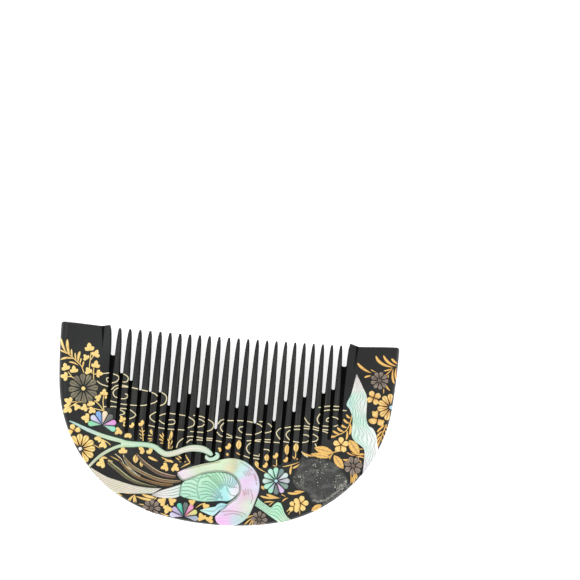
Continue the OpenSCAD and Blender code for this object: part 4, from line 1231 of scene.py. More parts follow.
# Lines of the flowing water
WATER = [
    [(-73, 74.3), (-69, 75)], [(-76, 70.3), (-73.5, 68.8), (-69, 67.8)],
    [(-69, 72.5), (-70.5, 72), (-70, 70.5), (-69, 70.3)],
    [(-66.5, 74.5), (-64, 73.8), (-63.3, 72.5), (-64.5, 70.8), (-66.5, 70)],
    [(-60.3, 74.8), (-58.3, 73.8), (-57.8, 72.3), (-58.8, 71), (-60.7, 70.8)], [(-66.5, 67), (-65, 68.3), (-63, 69)],
    [(-63, 67.7), (-65, 66.5), (-66, 64.8), (-65, 63), (-63, 62.3)],
    [(-62, 69.3), (-55, 68.2), (-49, 67.4), (-44.5, 66.8)], [(-60.5, 68.3), (-57.5, 68.3)],
    [(-43.8, 66.6), (-40.8, 65.6), (-39.2, 63.8), (-40.5, 61.8), (-43.5, 60.5)],
    [(-37.3, 66.8), (-35, 65.5), (-34.4, 63.6), (-35.3, 61.3), (-37.3, 60.2)],
    [(-62, 59.3), (-55, 59.1), (-48.5, 59.3), (-45.3, 60)],
    [(-59, 64.6), (-57.6, 64.4), (-57.5, 63), (-58.8, 62.2), (-60.7, 62)], [(-66.5, 60.3), (-63, 59.8)],
    [(-70, 57.2), (-66, 57.6), (-63, 57.5)], [(-60.7, 57), (-57.4, 57)], [(-60.5, 56), (-58.2, 54.7), (-60.5, 53.5)],
    [(-55, 56.5), (-52.5, 55), (-51.8, 54), (-53, 52.8), (-55, 52)],
    [(-40, 56.5), (-42.5, 55), (-43.3, 54), (-42.5, 52.5), (-40, 51.3)], [(-34, 56.2), (-36.5, 55.3), (-38, 54.5)],
    [(-38, 52.5), (-36, 51.2), (-34, 50.6)], [(-31.5, 53), (-29.5, 53.2), (-28.3, 52.3), (-29, 51), (-31.5, 50.6)],
    [(-31.5, 56.3), (-28, 56.2), (-22, 55.7)], [(-20, 55), (-18, 54), (-17, 53), (-17.5, 51), (-20, 49.8)],
    [(-18, 56.3), (-13, 56), (-11, 55.3)], [(-14, 54.5), (-12, 53.8), (-11, 52.8), (-12, 51.2), (-14, 50.6)],
    [(-8.5, 54.5), (-6.5, 53.5), (-5.5, 51.8), (-6.5, 49.8), (-8.5, 48.8)], [(-43, 49.2), (-34, 48.2), (-22, 48.3)],
    [(-19, 47.8), (-11, 47.8)], [(-20, 45), (-17, 45.3), (-11, 44.8)], [(-20, 42.3), (-18, 43.5), (-11, 43.7)],
    [(-8.5, 44), (-3, 44), (0.5, 43.5)], [(-8.5, 45), (-5.3, 45)], [(-26, 40), (-25.5, 41.5), (-24, 43), (-22, 44.5)],
    [(0.8, 54), (-0.8, 52.5), (-1.5, 51), (-0.8, 49.8), (0.8, 48.3)], [(-2.7, 53.5), (-1.5, 54.8), (0.8, 55.5)],
    [(3, 55), (6, 55.2), (12, 55.5), (17.5, 55)], [(21, 55.8), (23.5, 55.8)],
    [(12, 52.3), (10.5, 52.3), (9.3, 51.3), (10, 50), (12.3, 48.9)], [(-2.7, 48), (-1.5, 47), (0.7, 46.3)],
    [(3, 47.8), (4.5, 47.3), (6, 46.8)], [(3, 46.2), (6.2, 46.2)], [(8.5, 46.7), (12.3, 46.2)],
    [(14.3, 48.6), (17.5, 48.6)], [(14.5, 45.2), (17.5, 45.5), (23.5, 45.3)], [(20, 46), (23.5, 46.5)],
    [(25.3, 46.6), (28.7, 46.8)], [(25.3, 45.4), (28.7, 45.4)], [(31, 45.6), (34.4, 45.6)],
    [(20, 54.5), (22, 53.8), (23.4, 52.3), (22.5, 50.5), (20, 49.3)],
    [(26, 55.2), (28, 54), (28.8, 52.5), (28, 51), (25.5, 50.2)],
    [(34.3, 53.3), (32.5, 52.3), (31.5, 50.6), (32.3, 49), (34.4, 47)],
    [(40, 52.8), (38.3, 51.8), (37.2, 50.2), (38, 48.8), (40, 47)], [(37, 53.7), (40, 54.3)],
    [(42.3, 54.8), (45.5, 55.2)], [(42.3, 53.1), (45.5, 53.4)], [(48, 55.3), (51, 55)], [(48, 54), (51, 53.9)],
    [(53.3, 55.2), (56.5, 54.6)], [(53.3, 54), (56.5, 53.4)], [(36.7, 46.3), (40, 46)], [(42, 46.8), (45.5, 46.5)],
    [(47.7, 50.7), (50, 50.5), (51, 49), (50, 47.3), (47.7, 46.7)],
    [(53.5, 51.2), (55.5, 50.3), (56.2, 49.2), (55, 48), (53.2, 47.5)], [(48, 58.7), (49.3, 57.2), (51.2, 56)],
    [(56.8, 63), (55.3, 61), (54.8, 59), (56, 57.2)], [(55, 65.5), (57, 65.8)], [(59, 66.3), (62.3, 66.8)],
    [(59, 64.2), (62.3, 64.8)], [(64.7, 66.8), (68, 66.9)], [(64.7, 65), (68, 65.1)], [(70, 65), (71.5, 65)],
    [(62.2, 60.9), (60.5, 60), (60.2, 58.8), (61.5, 58.6)],
    [(64.7, 61), (66.5, 60.6), (67.7, 59), (67.3, 57.3), (64.7, 56.2)], [(59, 56.1), (62.3, 56)],
    [(59, 54.2), (62.3, 54.2)], [(59, 53.3), (62.3, 52.5)],
    [(17.5, 44.7), (15.5, 43.2), (14.7, 41.5), (15.5, 39.8), (17.5, 38.3)], [(14, 37.2), (17.3, 36.4)],
    [(19.8, 38), (23, 37.7)], [(19.8, 36.4), (23, 36.2)], [(25.2, 41.5), (28, 41.2), (28.5, 39)],
    [(22.9, 41.3), (22.7, 39.3)], [(47.3, 41.7), (48.8, 40.2), (51, 39.3)], [(55.3, 45.5), (56.5, 43.8), (58.3, 42.8)]
]

# Grass blades and fern leaflets: root, bend, tip, and half the width in hundredths of the half width
STROKES = [
    (-93, 82.3, -95.3, 86, -95.3, 90.8, 1.1), (-96, 85, -98.3, 87.5, -99.3, 91, 0.9),
    (-94.5, 83, -97.3, 84.5, -99.3, 84.8, 0.6), (-90.5, 80.8, -95, 81.8, -98.4, 79.9, 0.8),
    (-91.5, 81.5, -92.3, 83.5, -92.5, 85.8, 0.7), (-89, 79.8, -90, 81.8, -90.2, 84, 0.6),
    (-88, 79, -88.3, 82.5, -87.3, 85, 1), (-86.8, 78, -86.8, 80, -86.3, 81.5, 0.6),
    (-85.2, 76, -85, 78, -84.6, 80, 0.6), (-87.5, 77.5, -90.3, 79.2, -93.3, 79, 0.6),
    (-77, 37.5, -74, 36.7, -70.7, 35.3, 0.3), (-66, 30.3, -68, 31, -70, 30.4, 0.9),
    (-62, 33.5, -60, 31.5, -57.5, 30.5, 0.35), (-65, 32, -62, 30.6, -58.5, 29.5, 0.35),
    (-47.3, 45.2, -47.9, 46, -48.8, 46.5, 0.4), (-47.2, 45.2, -46.3, 45.7, -45.8, 46.5, 0.4),
    (-47.1, 43.5, -47.8, 44.2, -48.8, 44.6, 0.4), (-47.1, 43.5, -46.2, 44, -45.5, 44.7, 0.4),
    (-46.8, 41.9, -47.4, 42.4, -48.2, 42.6, 0.35), (-40.8, 44.5, -41.5, 45.7, -42.8, 46.6, 0.6),
    (-40.8, 43.8, -42.2, 44.1, -43.6, 44, 0.4), (-40.6, 42.2, -42, 42.5, -43.4, 42.3, 0.5),
    (-40.6, 41.5, -41.7, 41.4, -42.7, 40.9, 0.35), (-34.1, 42.2, -35.2, 43.9, -36.9, 45.1, 0.6),
    (-34, 42.8, -34.3, 44.5, -35.4, 46, 0.45), (-33.8, 41.2, -35.2, 42.2, -37, 42.6, 0.5),
    (-33.7, 40.5, -35, 40.7, -36.2, 40.5, 0.4), (-30.3, 42.4, -29.5, 44.6, -29.7, 46.9, 0.75),
    (-30.3, 40.1, -30.8, 41.7, -31.9, 43, 0.45), (-30, 39.8, -29.3, 41.1, -29.2, 42.5, 0.4),
    (-29.7, 38.9, -30.4, 39.6, -31.3, 40, 0.35), (-29.5, 38.2, -30.4, 38.4, -31.4, 38.3, 0.4),
    (-29.5, 37.8, -28.8, 38.6, -28.6, 39.5, 0.35), (-58.5, 29.5, -55, 27, -51, 25.3, 0.4),
    (-36.5, 31, -39.5, 31.8, -42.5, 33, 1), (-35, 33.5, -33, 32.4, -30.5, 32, 0.5),
    (-33, 31, -30, 32.3, -27.5, 31, 0.9), (-26.5, 33.7, -25.2, 33.2, -24, 32.3, 0.5),
    (-25.5, 35, -24, 34.2, -22.5, 33, 0.5), (-21, 36, -19.5, 33.5, -17.5, 31.5, 0.5),
    (-17, 37, -17.2, 35, -17, 33, 0.45), (-23, 28.5, -20, 30.3, -17.5, 31.5, 0.5),
    (-24.5, 31.5, -22, 31.7, -20, 31.8, 0.4), (-48.5, 12.8, -51, 11, -52.3, 9.3, 0.45),
    (-48.5, 12.8, -50.5, 10.8, -51.3, 8.9, 0.4), (-48.5, 12.8, -49, 10.5, -48.5, 8.6, 0.7),
    (-48.5, 12.8, -47.8, 10.5, -47.3, 8.6, 0.5), (-48, 12, -43, 10.6, -37.5, 10.5, 0.9),
    (-44.5, 13.3, -42, 12.3, -36.5, 11.8, 1.1), (-37, 10.7, -36, 11.6, -35.5, 12.4, 0.4),
    (-50, 13, -56.5, 13.2, -59.5, 14.6, 0.6), (-55.5, 11.2, -57, 11.9, -59, 12.8, 0.5),
    (-46, 8, -44.3, 7.9, -42.5, 7.8, 0.4), (-33, 4.3, -30, 3.2, -27.5, 2.9, 0.5), (-12.5, 8, -10.5, 9.8, -8, 11, 0.4),
    (22.5, 7, 19, 6, 16.2, 4.2, 0.6), (22, 5.8, 19.5, 4.3, 17, 1.5, 0.5), (22, 5.5, 20.8, 3, 19.7, 1.5, 0.45),
    (22, 5.5, 21.7, 3, 21.7, 1.5, 0.45), (22, 5.5, 22.8, 3.5, 23, 1.7, 0.45), (36, 16.9, 31, 17.3, 28.5, 18.3, 1),
    (37, 17, 29, 15.8, 25, 17.2, 0.8), (40, 17.8, 38.5, 18.3, 37, 19, 0.4), (41.5, 17.3, 39.5, 17, 38, 15, 0.5),
    (33, 14.7, 31, 14.7, 27.5, 14, 0.5), (33.5, 15, 32, 14, 30.5, 12.5, 0.4), (50.5, 21.3, 44.5, 18.9, 40.8, 20, 0.9),
    (51, 21.3, 47, 21.2, 44.5, 20.8, 0.6), (48.5, 13, 48.8, 11, 48.8, 9, 0.3), (45, 13, 42.5, 11.5, 41, 10, 0.4),
    (44, 12, 43.5, 10.5, 42, 8.5, 0.3), (28, 29.3, 24, 30.5, 21, 32.5, 0.4), (47, 36.7, 42, 34.3, 36.5, 33.2, 0.4),
    (42, 34.5, 41.2, 32, 41.5, 29.5, 0.8), (46.5, 35.5, 44.5, 33.3, 42.5, 33, 0.7),
    (11.5, 37.5, 10, 38, 9, 38.8, 0.5), (33, 33, 32, 33.2, 31, 33.6, 0.4), (43.8, 37.5, 43, 38.2, 42, 39, 0.5),
    (44.5, 37.3, 45, 38, 45.5, 39, 0.5), (84.5, 85.6, 78.5, 87.2, 75.8, 90.3, 1),
    (84.5, 84.2, 82.5, 84, 80.5, 83, 0.7), (87.3, 86.2, 85.5, 86.6, 83.8, 87.5, 0.35),
    (97, 89.5, 88, 90, 86.3, 94.8, 1.1), (99, 90.2, 93, 91, 90.7, 95.3, 1), (99.3, 91.5, 97.3, 92.3, 95.5, 94, 0.9),
    (96.5, 89, 94.5, 87.8, 91.5, 87.2, 0.5), (96.8, 89, 94.5, 86.5, 92.5, 84.8, 0.4),
    (97, 88.8, 96.3, 84, 98.3, 81, 0.8), (98.8, 89.5, 98, 86, 99.3, 83, 0.7), (96.3, 77, 94, 78.5, 93, 80.5, 0.7),
    (92.5, 75.2, 92.5, 76.6, 92.3, 78, 0.4), (94.5, 83.5, 94.4, 84.5, 94.2, 85.5, 0.4),
    (74.4, 61.4, 72.8, 61.3, 71.6, 63, 0.85), (74, 58.6, 71.6, 58.6, 70.3, 60.6, 0.9),
    (72.9, 56.2, 70.3, 56, 68.6, 58, 0.9), (71, 54, 68.6, 54.1, 66.8, 55.9, 0.85),
    (68.8, 52.6, 66.6, 52.6, 64.4, 54, 0.8), (67, 51.6, 65, 50.6, 62.9, 50.9, 0.8),
    (74.4, 58.5, 75.4, 56, 74.3, 52.6, 0.9), (72.5, 55, 73.6, 52.6, 72.6, 49.8, 0.8),
    (94.8, 59, 92, 57.4, 90.4, 55, 0.75), (94, 56, 91.4, 54.6, 90.4, 52.3, 0.75),
    (93.2, 53.3, 91.2, 52, 90.6, 49.8, 0.7), (92.3, 50.5, 91, 49.2, 90.7, 47, 0.6),
    (95, 58.8, 96.9, 57.4, 96.9, 55.2, 0.7), (94.5, 56.5, 96.3, 55.2, 96.4, 53, 0.7),
    (93.9, 54.5, 95.5, 52.7, 95.2, 50.3, 0.7), (93.2, 52, 94.4, 50.7, 94.2, 48.8, 0.6),
    (83.5, 45.8, 82, 45.6, 80.5, 45.5, 0.4), (79, 42, 75.5, 42, 73.5, 43.5, 0.5),
    (83.5, 43.5, 82, 43, 80.5, 42.5, 0.6), (81.5, 42, 80, 40.5, 79, 38.5, 0.4), (81, 40, 82, 39.3, 82.5, 38.5, 0.4),
    (58.8, 42.6, 56.5, 43, 55.2, 45.2, 0.6), (55.1, 40, 50.5, 39.8, 47.4, 41.5, 0.7),
    (65.7, 42.5, 69.8, 43.9, 71.7, 44.4, 0.35), (75.7, 43.5, 80.4, 42.1, 84.4, 43, 0.6),
    (78.9, 41.4, 81.4, 42.1, 84.5, 40.9, 0.5), (72.2, 39, 74.5, 38.6, 77.4, 38.9, 0.5),
    (76, 39.8, 73.5, 39.4, 71.5, 39.3, 0.5), (76.2, 33.2, 77.9, 30.5, 77.2, 27.2, 0.5),
    (79.6, 33.2, 80.9, 31.6, 80.4, 29.8, 0.5)
]

# Three-lobed leaves: middle, size and turn
TREFOILS = [
    (-82, 87.2, 2.3, 100), (-78, 84.2, 2.1, 70), (-83.5, 82, 1.7, 130), (-77.5, 78.5, 2.1, 85), (-81.5, 75, 1.9, 120),
    (-75.2, 74.2, 1.9, 0), (-95, 76, 2.1, 110), (-90, 75, 2, 100), (-95, 71.3, 2.1, 180), (-91.5, 58.5, 2.2, 160),
    (-92, 54.5, 2.4, 225), (-86.5, 56, 1.8, 250), (-82, 55.8, 1.9, 200), (-78.5, 58.3, 1.9, 110),
    (-77.5, 54.8, 1.9, 230), (-74.5, 61.5, 1.8, 160), (-71.3, 64.3, 1.9, 90), (-69.3, 61.5, 1.5, 30),
    (-80.5, 50.5, 2.3, 180), (-72.3, 40.5, 2, 190), (-69.3, 37.5, 2.1, 210), (-57.5, 35, 2.1, 95),
    (-46, 36.3, 2.1, 150), (-41.2, 35.8, 2.1, 90), (-69.5, 27.6, 2.4, 200), (-64.5, 28.8, 1.2, 250),
    (-61, 45, 2, 225), (-55.2, 43.6, 2, 215), (-53, 48.3, 1.6, 90), (-59.3, 51.3, 1.7, 120), (-57.8, 49, 1.2, 0),
    (-47.5, 49.7, 1.8, 90), (-32, 28.3, 2.1, 200), (-26.2, 28.3, 2.1, -30), (-32, 10.4, 2.3, 170),
    (-26.5, 10.8, 2.1, 20), (-28.7, 6.6, 2.3, 250), (-14.6, 11, 1.8, 150), (-6.6, 9.4, 1.9, 20),
    (-8.4, 3.6, 2.2, 115), (-3.6, 2.8, 2, 60), (-0.5, 39.7, 1.2, 150), (4.5, 41.2, 1.8, 90), (4.8, 37.2, 1.5, 60),
    (27, 33, 1.6, 90), (32.6, 38.3, 1.7, 90), (38.8, 36.7, 1.6, 90), (92.3, 60, 1.8, -60), (88.5, 64.6, 1.7, 150)
]

# Small pointed leaves: root, tip, and half the width in hundredths of the half width
LENSES = [
    (-49.6, 29, -49.6, 33.8, 1.7), (-45.8, 27.2, -46.3, 31, 1.1), (10, 40.3, 10, 45.5, 1.6),
    (27, 35.3, 27, 39.2, 1.5), (38.6, 39.4, 38.3, 45.2, 1.5), (43.7, 41.2, 43.7, 46.2, 1.6),
    (89.8, 60.3, 84.7, 60.9, 1.7), (22.5, 31.8, 20.5, 35.2, 1.2), (25, 22.5, 27.2, 20.6, 0.9),
    (-41.5, 44.8, -42.2, 47.5, 0.8)
]

# Stems of the sprays
STEMS = [
    [(-84.2, 74.2), (-86, 77.5), (-90, 80.5), (-93, 82.5), (-96.5, 85), (-99, 88.3)],
    [(-78, 71.3), (-78.3, 73), (-78.5, 77)], [(-78, 73.5), (-76.3, 74.2)],
    [(-79, 74), (-81, 76.5), (-81, 81), (-80.8, 85)], [(-80.7, 81), (-79.3, 83)],
    [(-89, 70.5), (-91, 71.5), (-93.3, 74)], [(-91, 71.5), (-94, 71.3)], [(-70.5, 55), (-71.5, 60), (-71.3, 63)],
    [(-71, 55), (-73, 57.5), (-76.5, 60)], [(-71, 55), (-77, 55.8), (-80.5, 55.6)],
    [(-84, 58.8), (-86.5, 58.3), (-89.3, 56.5), (-91, 55.5)], [(-85, 59), (-88, 58.5), (-90, 58.3)],
    [(-71, 40.3), (-67.5, 39), (-65, 37.5)], [(-57, 33), (-56.5, 31.5)], [(-47.5, 48), (-46.8, 45), (-46.3, 42)],
    [(-30, 47.5), (-31, 43), (-31, 38)], [(32.8, 36.8), (33, 34.5)], [(43.7, 41.3), (43.7, 38.3)],
    [(68.8, 44.6), (65.5, 42.3), (63.8, 39.1)], [(62, 39.9), (64.8, 41.1)],
    [(75, 63), (74, 58), (71.5, 54), (64, 50.5)], [(95.5, 59.5), (93.5, 54), (91.2, 47)], [(-29, 9), (-28.5, 8)]
]

# Fine feather strands beside the plumes
STRANDS = [
    [(-57, 33), (-56, 30), (-52, 26), (-47, 22.7)], [(-62, 33), (-58.5, 31), (-55.5, 27.5), (-50, 24), (-46, 22.5)]
]

# Remains of glue in the bare place: band through its middle, and rings of specks with their middles and radii
GLUE_BAND = [(55.8, 16.9), (60, 16.9), (64, 18.1), (68, 21), (72, 24.6), (74.5, 26.5)]
GLUE_RINGS = [(58.5, 35, 3.6, 60), (46.6, 27, 2.8, 55), (71, 27.6, 3.4, 70), (73.5, 24.5, 3, 50), (54, 28, 4.5, 20)]


# Height at which the edges of thin gold stand over the lacquer, in millimetres
LEAST_LIFT = 0.012


def in_tooth(face, x, y, room=0.03):
    """Keeps the rows of a grid to the tooth that its middle lies on: places beyond a tooth's side move to it.
    With it goes whether each row's middle lies on a tooth."""
    middle = x.shape[1] // 2
    left, right = face.tooth_span(x[:, middle], y[:, middle])
    held = (x[:, middle] > left + room) & (x[:, middle] < right - room)
    return np.clip(x, left[:, None] + room, right[:, None] - room), held


def held_parts(held):
    """The stretches of three rows and more that lie on teeth."""
    ends = np.flatnonzero(np.diff(np.concatenate([[0], held, [0]]))).reshape(-1, 2)
    return [slice(start, end) for start, end in ends if end - start > 2]


def line(build, face, path, half, height, tint, spacing=0.16):
    """Adds a raised line: a half round profile carried along a path in millimetres, broken where it crosses
    a saw cut. An end that lies close to a tooth's side runs on to it."""
    path = evenly(path, spacing)
    for _ in range(2):
        left, right = face.tooth_span(*path[-1:].T)
        if min(path[-1, 0] - left[0], right[0] - path[-1, 0]) < 0.55:
            onward = (path[-1] - path[-2]) / np.hypot(*(path[-1] - path[-2])) * spacing
            path = np.concatenate([path, path[-1] + onward * np.arange(1, 5)[:, None]])
        path = path[::-1]
    v = np.array([-1, -0.6, 0, 0.6, 1])
    grid = path[:, None] + across_of(path)[:, None] * (half * v)[None, :, None]
    x, held = in_tooth(face, grid[..., 0], grid[..., 1])
    lift = LEAST_LIFT + height * np.sqrt(1 - v**2) * (1 + 0.25 * lumps(path[:, 0], path[:, 1], 1.3, 61))[:, None]
    for part in held_parts(held):
        build.plaque(face, x[part], grid[part, :, 1], lift[part], tint, toothed=True)


def stroke(build, face, row, height, tint):
    """Adds a grass blade: a bent middle line whose half width grows with a power of the share of the way from
    the root and falls with a power of the share that is left."""
    root, bend, tip = place(row[:2]), place(row[2:4]), place(row[4:6])
    t = soft_steps(14)[:, None]
    path = root * (1 - t) ** 2 + 2 * bend * t * (1 - t) + tip * t**2
    reach = np.maximum(1.95 * t[:, 0] ** 0.8 * (1 - t[:, 0]) ** 0.5, 0.06)
    v = soft_steps(7) * 2 - 1
    grid = path[:, None] + across_of(path)[:, None] * (row[6] / 100 * HALF_WIDE * reach[:, None] * v)[..., None]
    x, held = in_tooth(face, grid[..., 0], grid[..., 1])
    lift = LEAST_LIFT + height * np.sqrt(1 - v**2) + 0 * x
    shade = (1 - 0.45 * v**4)[:, None] * (0.75 + 0.25 * t)[:, None]
    tint = np.array(tint) * shade ** np.array([0.6, 1, 1.6])
    for part in held_parts(held):
        build.plaque(face, x[part], grid[part, :, 1], lift[part], tint[part], toothed=True)


def trefoil(build, face, row, height, tint):
    """Adds a three-lobed leaf: from one root, three egg-shaped lobes whose half width is a sine of the share of
    the way along, raised to a power that makes the far end rounder. Each lobe is darker along its middle and at
    its edges: painted shade, with no groove cut into it."""
    size = row[2] / 100 * HALF_WIDE
    root = laid(place(row[:2]), row[3], -0.75 * size, 0)
    t = soft_steps(10)[:, None]
    v = (soft_steps(7) * 2 - 1)[None]
    swell = np.maximum(np.sin(np.pi * t**1.35) ** 0.8, 0.02)
    for turn, far, wide in ((-52, 1.5, 0.52), (52, 1.5, 0.52), (0, 2.1, 0.6)):
        reach = wide * size * swell
        x, y = laid(root, row[3] + turn, t * far * size + 0 * v, reach * v)
        x, held = in_tooth(face, x, y)
        edge = reach * (1 - np.abs(v))
        lift = LEAST_LIFT + height * (0.35 + 0.65 * rounded(edge, 0.3 * size)) * (0.8 + 0.2 * (turn == 0))
        # Painted shade: darker along the middle of each lobe and at its edges.
        dark = np.clip(0.8 * groove(reach * v, 0.05) * (1 - t) + 0.7 * (1 - rounded(edge, 0.12)), 0, 1)
        colour = np.array(tint) * (1 - 0.5 * dark[..., None]) ** np.array([0.7, 1, 1.7])
        if held[2:-1].all():
            build.plaque(face, x, y, lift, colour, toothed=True)


def speck(build, face, at, radius, tint):
    """Adds a low lump of glue, the higher the wider it is."""
    height = 0.05 + 0.3 * radius
    turn = np.linspace(0, 2 * np.pi, 9)[None]
    share = np.array([0.05, 0.6, 1])[:, None]
    x, y = at[0] + radius * share * np.cos(turn), at[1] + radius * share * np.sin(turn)
    build.plaque(face, x, y, height * np.sqrt(1 - 0.95 * share**2) + 0 * turn, tint)


def gilt(colours, x, seed):
    """The gold's colour at a place: yellow on the left, orange on the right, with seeded unevenness."""
    gold, orange = np.array(colours.gold), np.array(colours.orange)
    share = np.clip(x / HALF_WIDE * 0.6 + 0.5 + 0.25 * lumps(np.array(x), 0.0, 7, seed), 0, 1)
    return gold + (orange - gold) * float(share)


# ---- Operators ----


def comb(context):
    """The sizes and colours of the scene's comb, with its face."""
    return Face(context.scene.kushi_sizes), context.scene.kushi_colours


class KUSHI_OT_body(Operator):
    """Makes the lacquered wooden body, sawn into teeth"""

    bl_idname = "kushi.body"
    bl_label = "Comb body"

    def execute(self, context):
        face, colours = comb(context)
        body = cut_body(face, lacquer_finish(colours), sawn_shade_finish(), bare_finish(colours))
        settle(body, "lacquer", "comb_body")
        return {"FINISHED"}


class KUSHI_OT_crane(Operator):
    """Makes the crane: its back with neck and head, its bill, wing, long wing feathers and leg"""

    bl_idname = "kushi.crane"
    bl_label = "Crane"

    def execute(self, context):
        face, _ = comb(context)
        cream, mint = shell_finish("cream_shell", 40), shell_finish("mint_shell", -20)

        grid = ruled(CRANE_BACK, 12, 44)
        cuts = groove(distance_to(*grid[:2], BACK_GROOVES), 0.14)
        back = carved(face, grid, cuts, washes(*grid[:2], BACK_TINTS), reach=1.1, ink=BROWN_SHADE_INK, seed=21)
        # A grey-green raised line along the back's inner edge, beside the wing: painted shade between the plates.
        seam = smooth(place(np.array(CRANE_BACK)[:-4, 2:]), 8)
        line(back, face, seam - across_of(seam) * 0.2, 0.24, 0.36, linear("#a4b4a2"))
        settle(back.object("crane_back_shell", cream), "shell_cream", "crane_back")

        grid = ruled(CRANE_WING, 14, 84)
        cuts = groove(distance_to(*grid[:2], WING_GROOVES), 0.13)
        wing = carved(face, grid, cuts, washes(*grid[:2], WING_TINTS), reach=0.8, seed=22)
        settle(wing.object("crane_wing_shell", mint), "shell_mint", "crane_wing")

        grid = ruled(CRANE_PRIMARIES, 14, 44)
        long = carved(face, grid, stripes(grid[3], 3, 0.13), washes(*grid[:2], PRIMARY_TINTS),
                      ink=(0.42, 0.45, 0.43), seed=23)
        # A darker raised line across the root of the long feathers: painted shade where they meet the wing.
        root = np.array([CRANE_WING[0][:2], CRANE_PRIMARIES[0][:2], CRANE_PRIMARIES[0][2:], CRANE_WING[0][2:]])
        line(long, face, place([root[:2].mean(0), root[2:].mean(0)]), 0.3, 0.4, linear("#8aa592"))
        settle(long.object("crane_primaries_shell", cream), "shell_cream", "crane_primaries")

        for node, rows, wide, grooves, tints, seed in (("crane_bill", CRANE_BILL, 18, (1, 0.2), BILL_TINTS, 24),
                                                       ("crane_leg", CRANE_LEG, 32, (4, 0.17), LEG_TINTS, 25)):
            grid = ruled(rows, 8, wide)
            plate = carved(face, grid, stripes(grid[3], *grooves), washes(*grid[:2], tints), seed=seed)
            settle(plate.object(f"{node}_shell", mint), "shell_mint", node)
        return {"FINISHED"}


class KUSHI_OT_tail(Operator):
    """Makes the crane's tail: the cream band and four dark plumes"""

    bl_idname = "kushi.tail"
    bl_label = "Tail"

    def execute(self, context):
        face, _ = comb(context)
        grid = ruled(TAIL_BAND, 22, 40)
        x, y = grid[:2]
        rise = np.radians(24)
        hatch = 0.5 + 0.5 * np.sin(2 * np.pi * (y * np.cos(rise) - x * np.sin(rise)) / 0.58)
        tail = carved(face, grid, hatch * np.clip(grid[2] / 0.4, 0, 1), washes(x, y, BAND_TINTS), deep=0.08,
                      ink=(0.66, 0.62, 0.54), rim=0.4, seed=31)
        settle(tail.object("tail_band_shell", shell_finish("tail_shell", 12)), "shell_cream", "tail_band")

        brown, olive = (shell_finish(name, 30, rose=0.06, green=0.03, white=0.05)
                        for name in ("brown_shell", "olive_shell"))
        for i, rows in enumerate(PLUMES):
            grid = band(rows, 12, 16)
            tones = np.array([linear(code) for code in PLUME_BANDS[i]])
            share = grid[3]
            tint = np.stack([np.interp(share, PLUME_SHARES, tones[:, k]) for k in range(3)], -1)
            plume = carved(face, grid, stripes(share, 2, 0.16), tint, reach=0.35, deep=0.12, seed=32 + i)
            slot, finish = ("shell_olive", olive) if i == 3 else ("shell_brown", brown)
            settle(plume.object(f"tail_plume_{i + 1}_shell", finish), slot, f"tail_plume_{i + 1}")
        return {"FINISHED"}


class KUSHI_OT_ribbon(Operator):
    """Makes the ribbon with its two tails, and its knot"""

    bl_idname = "kushi.ribbon"
    bl_label = "Ribbon"

    def execute(self, context):
        face, _ = comb(context)
        thick = face.sizes.shell
        finish = shell_finish("ribbon_shell", 0)
        ribbon = Build()
        for i, (rows, lower) in enumerate(((RIBBON_UPPER, 0.12), (RIBBON_LOWER, 0.08), (RIBBON_MAIN, 0))):
            grid = band(rows, 14, 20)
            carve(ribbon, face, grid, thick - lower, stripes(grid[3], 1 + (i == 2), 0.13), silk(grid), reach=0.5,
                  deep=0.14, ink=(0.4, 0.52, 0.44), rim=0.5, seed=41 + i)
        settle(ribbon.object("ribbon_shell", finish), "shell_mint", "ribbon")
        grid = band(RIBBON_KNOT, 14, 16)
        knot = carved(face, grid, stripes(grid[3], 1, 0.12), silk(grid), reach=0.4, deep=0.12, seed=45)
        settle(knot.object("ribbon_knot_shell", finish), "shell_mint", "ribbon_knot")
        return {"FINISHED"}


class KUSHI_OT_waterfall(Operator):
    """Makes the waterfall"""

    bl_idname = "kushi.waterfall"
    bl_label = "Waterfall"

    def execute(self, context):
        face, _ = comb(context)
        grid = ruled(WATERFALL, 14, 56)
        x, y, _, share = grid
        wavy = share + 0.06 * np.sin(y * 1.1 + 5 * share) + 0.018 * np.sin(y * 2.6 + 1 - 4 * share)
        fall = carved(face, grid, stripes(np.clip(wavy, 0, 1), 6, 0.13), washes(x, y, FALL_TINTS), deep=0.2,
                      ink=(0.5, 0.62, 0.56), rim=0.3, seed=51)
        settle(fall.object("waterfall_shell", shell_finish("water_shell", 80)), "shell_water", "waterfall")
        return {"FINISHED"}


class KUSHI_OT_shell_flowers(Operator):
    """Makes the three abalone flowers and the small shell hearts"""

    bl_idname = "kushi.shell_flowers"
    bl_label = "Shell flowers"

    def execute(self, context):
        face, _ = comb(context)
        thick = face.sizes.shell
        finish = shell_finish("abalone", 60, 900, rose=0.1, white=0.08)
        for node, flower, petals, start in (("shell_flower_left", SHELL_LEFT, LEFT_PETALS, 0.06),
                                            ("shell_flower_right", SHELL_RIGHT, RIGHT_PETALS, 0.14),
                                            ("shell_flower_low", SHELL_LOW, LOW_PETALS, 0.06)):
            tints = [tuple(linear(code) for code in pair) for pair in petals]
            fan = Build()
            bloom(fan, face, flower, thick, tints, start, dome=0.45, long=20, wide=13)
            settle(fan.object(f"{node}_petals", finish), "abalone", node)
        for node, flower, size, high, code in (("shell_flower_heart", SHELL_RIGHT, 1, 1, "#bfe4ee"),
                                               ("mum_pearl_left", MUM_LEFT, 1.1, 0.9, "#f4f0ec"),
                                               ("mum_pearl_right", MUM_RIGHT, 1.1, 0.9, "#a9cfe6")):
            dot = Build()
            button(dot, face, place(flower[:2]), size / 100 * BLOOM, thick * high, linear(code))
            settle(dot.object(f"{node}_dot", finish), "abalone", node)
        return {"FINISHED"}


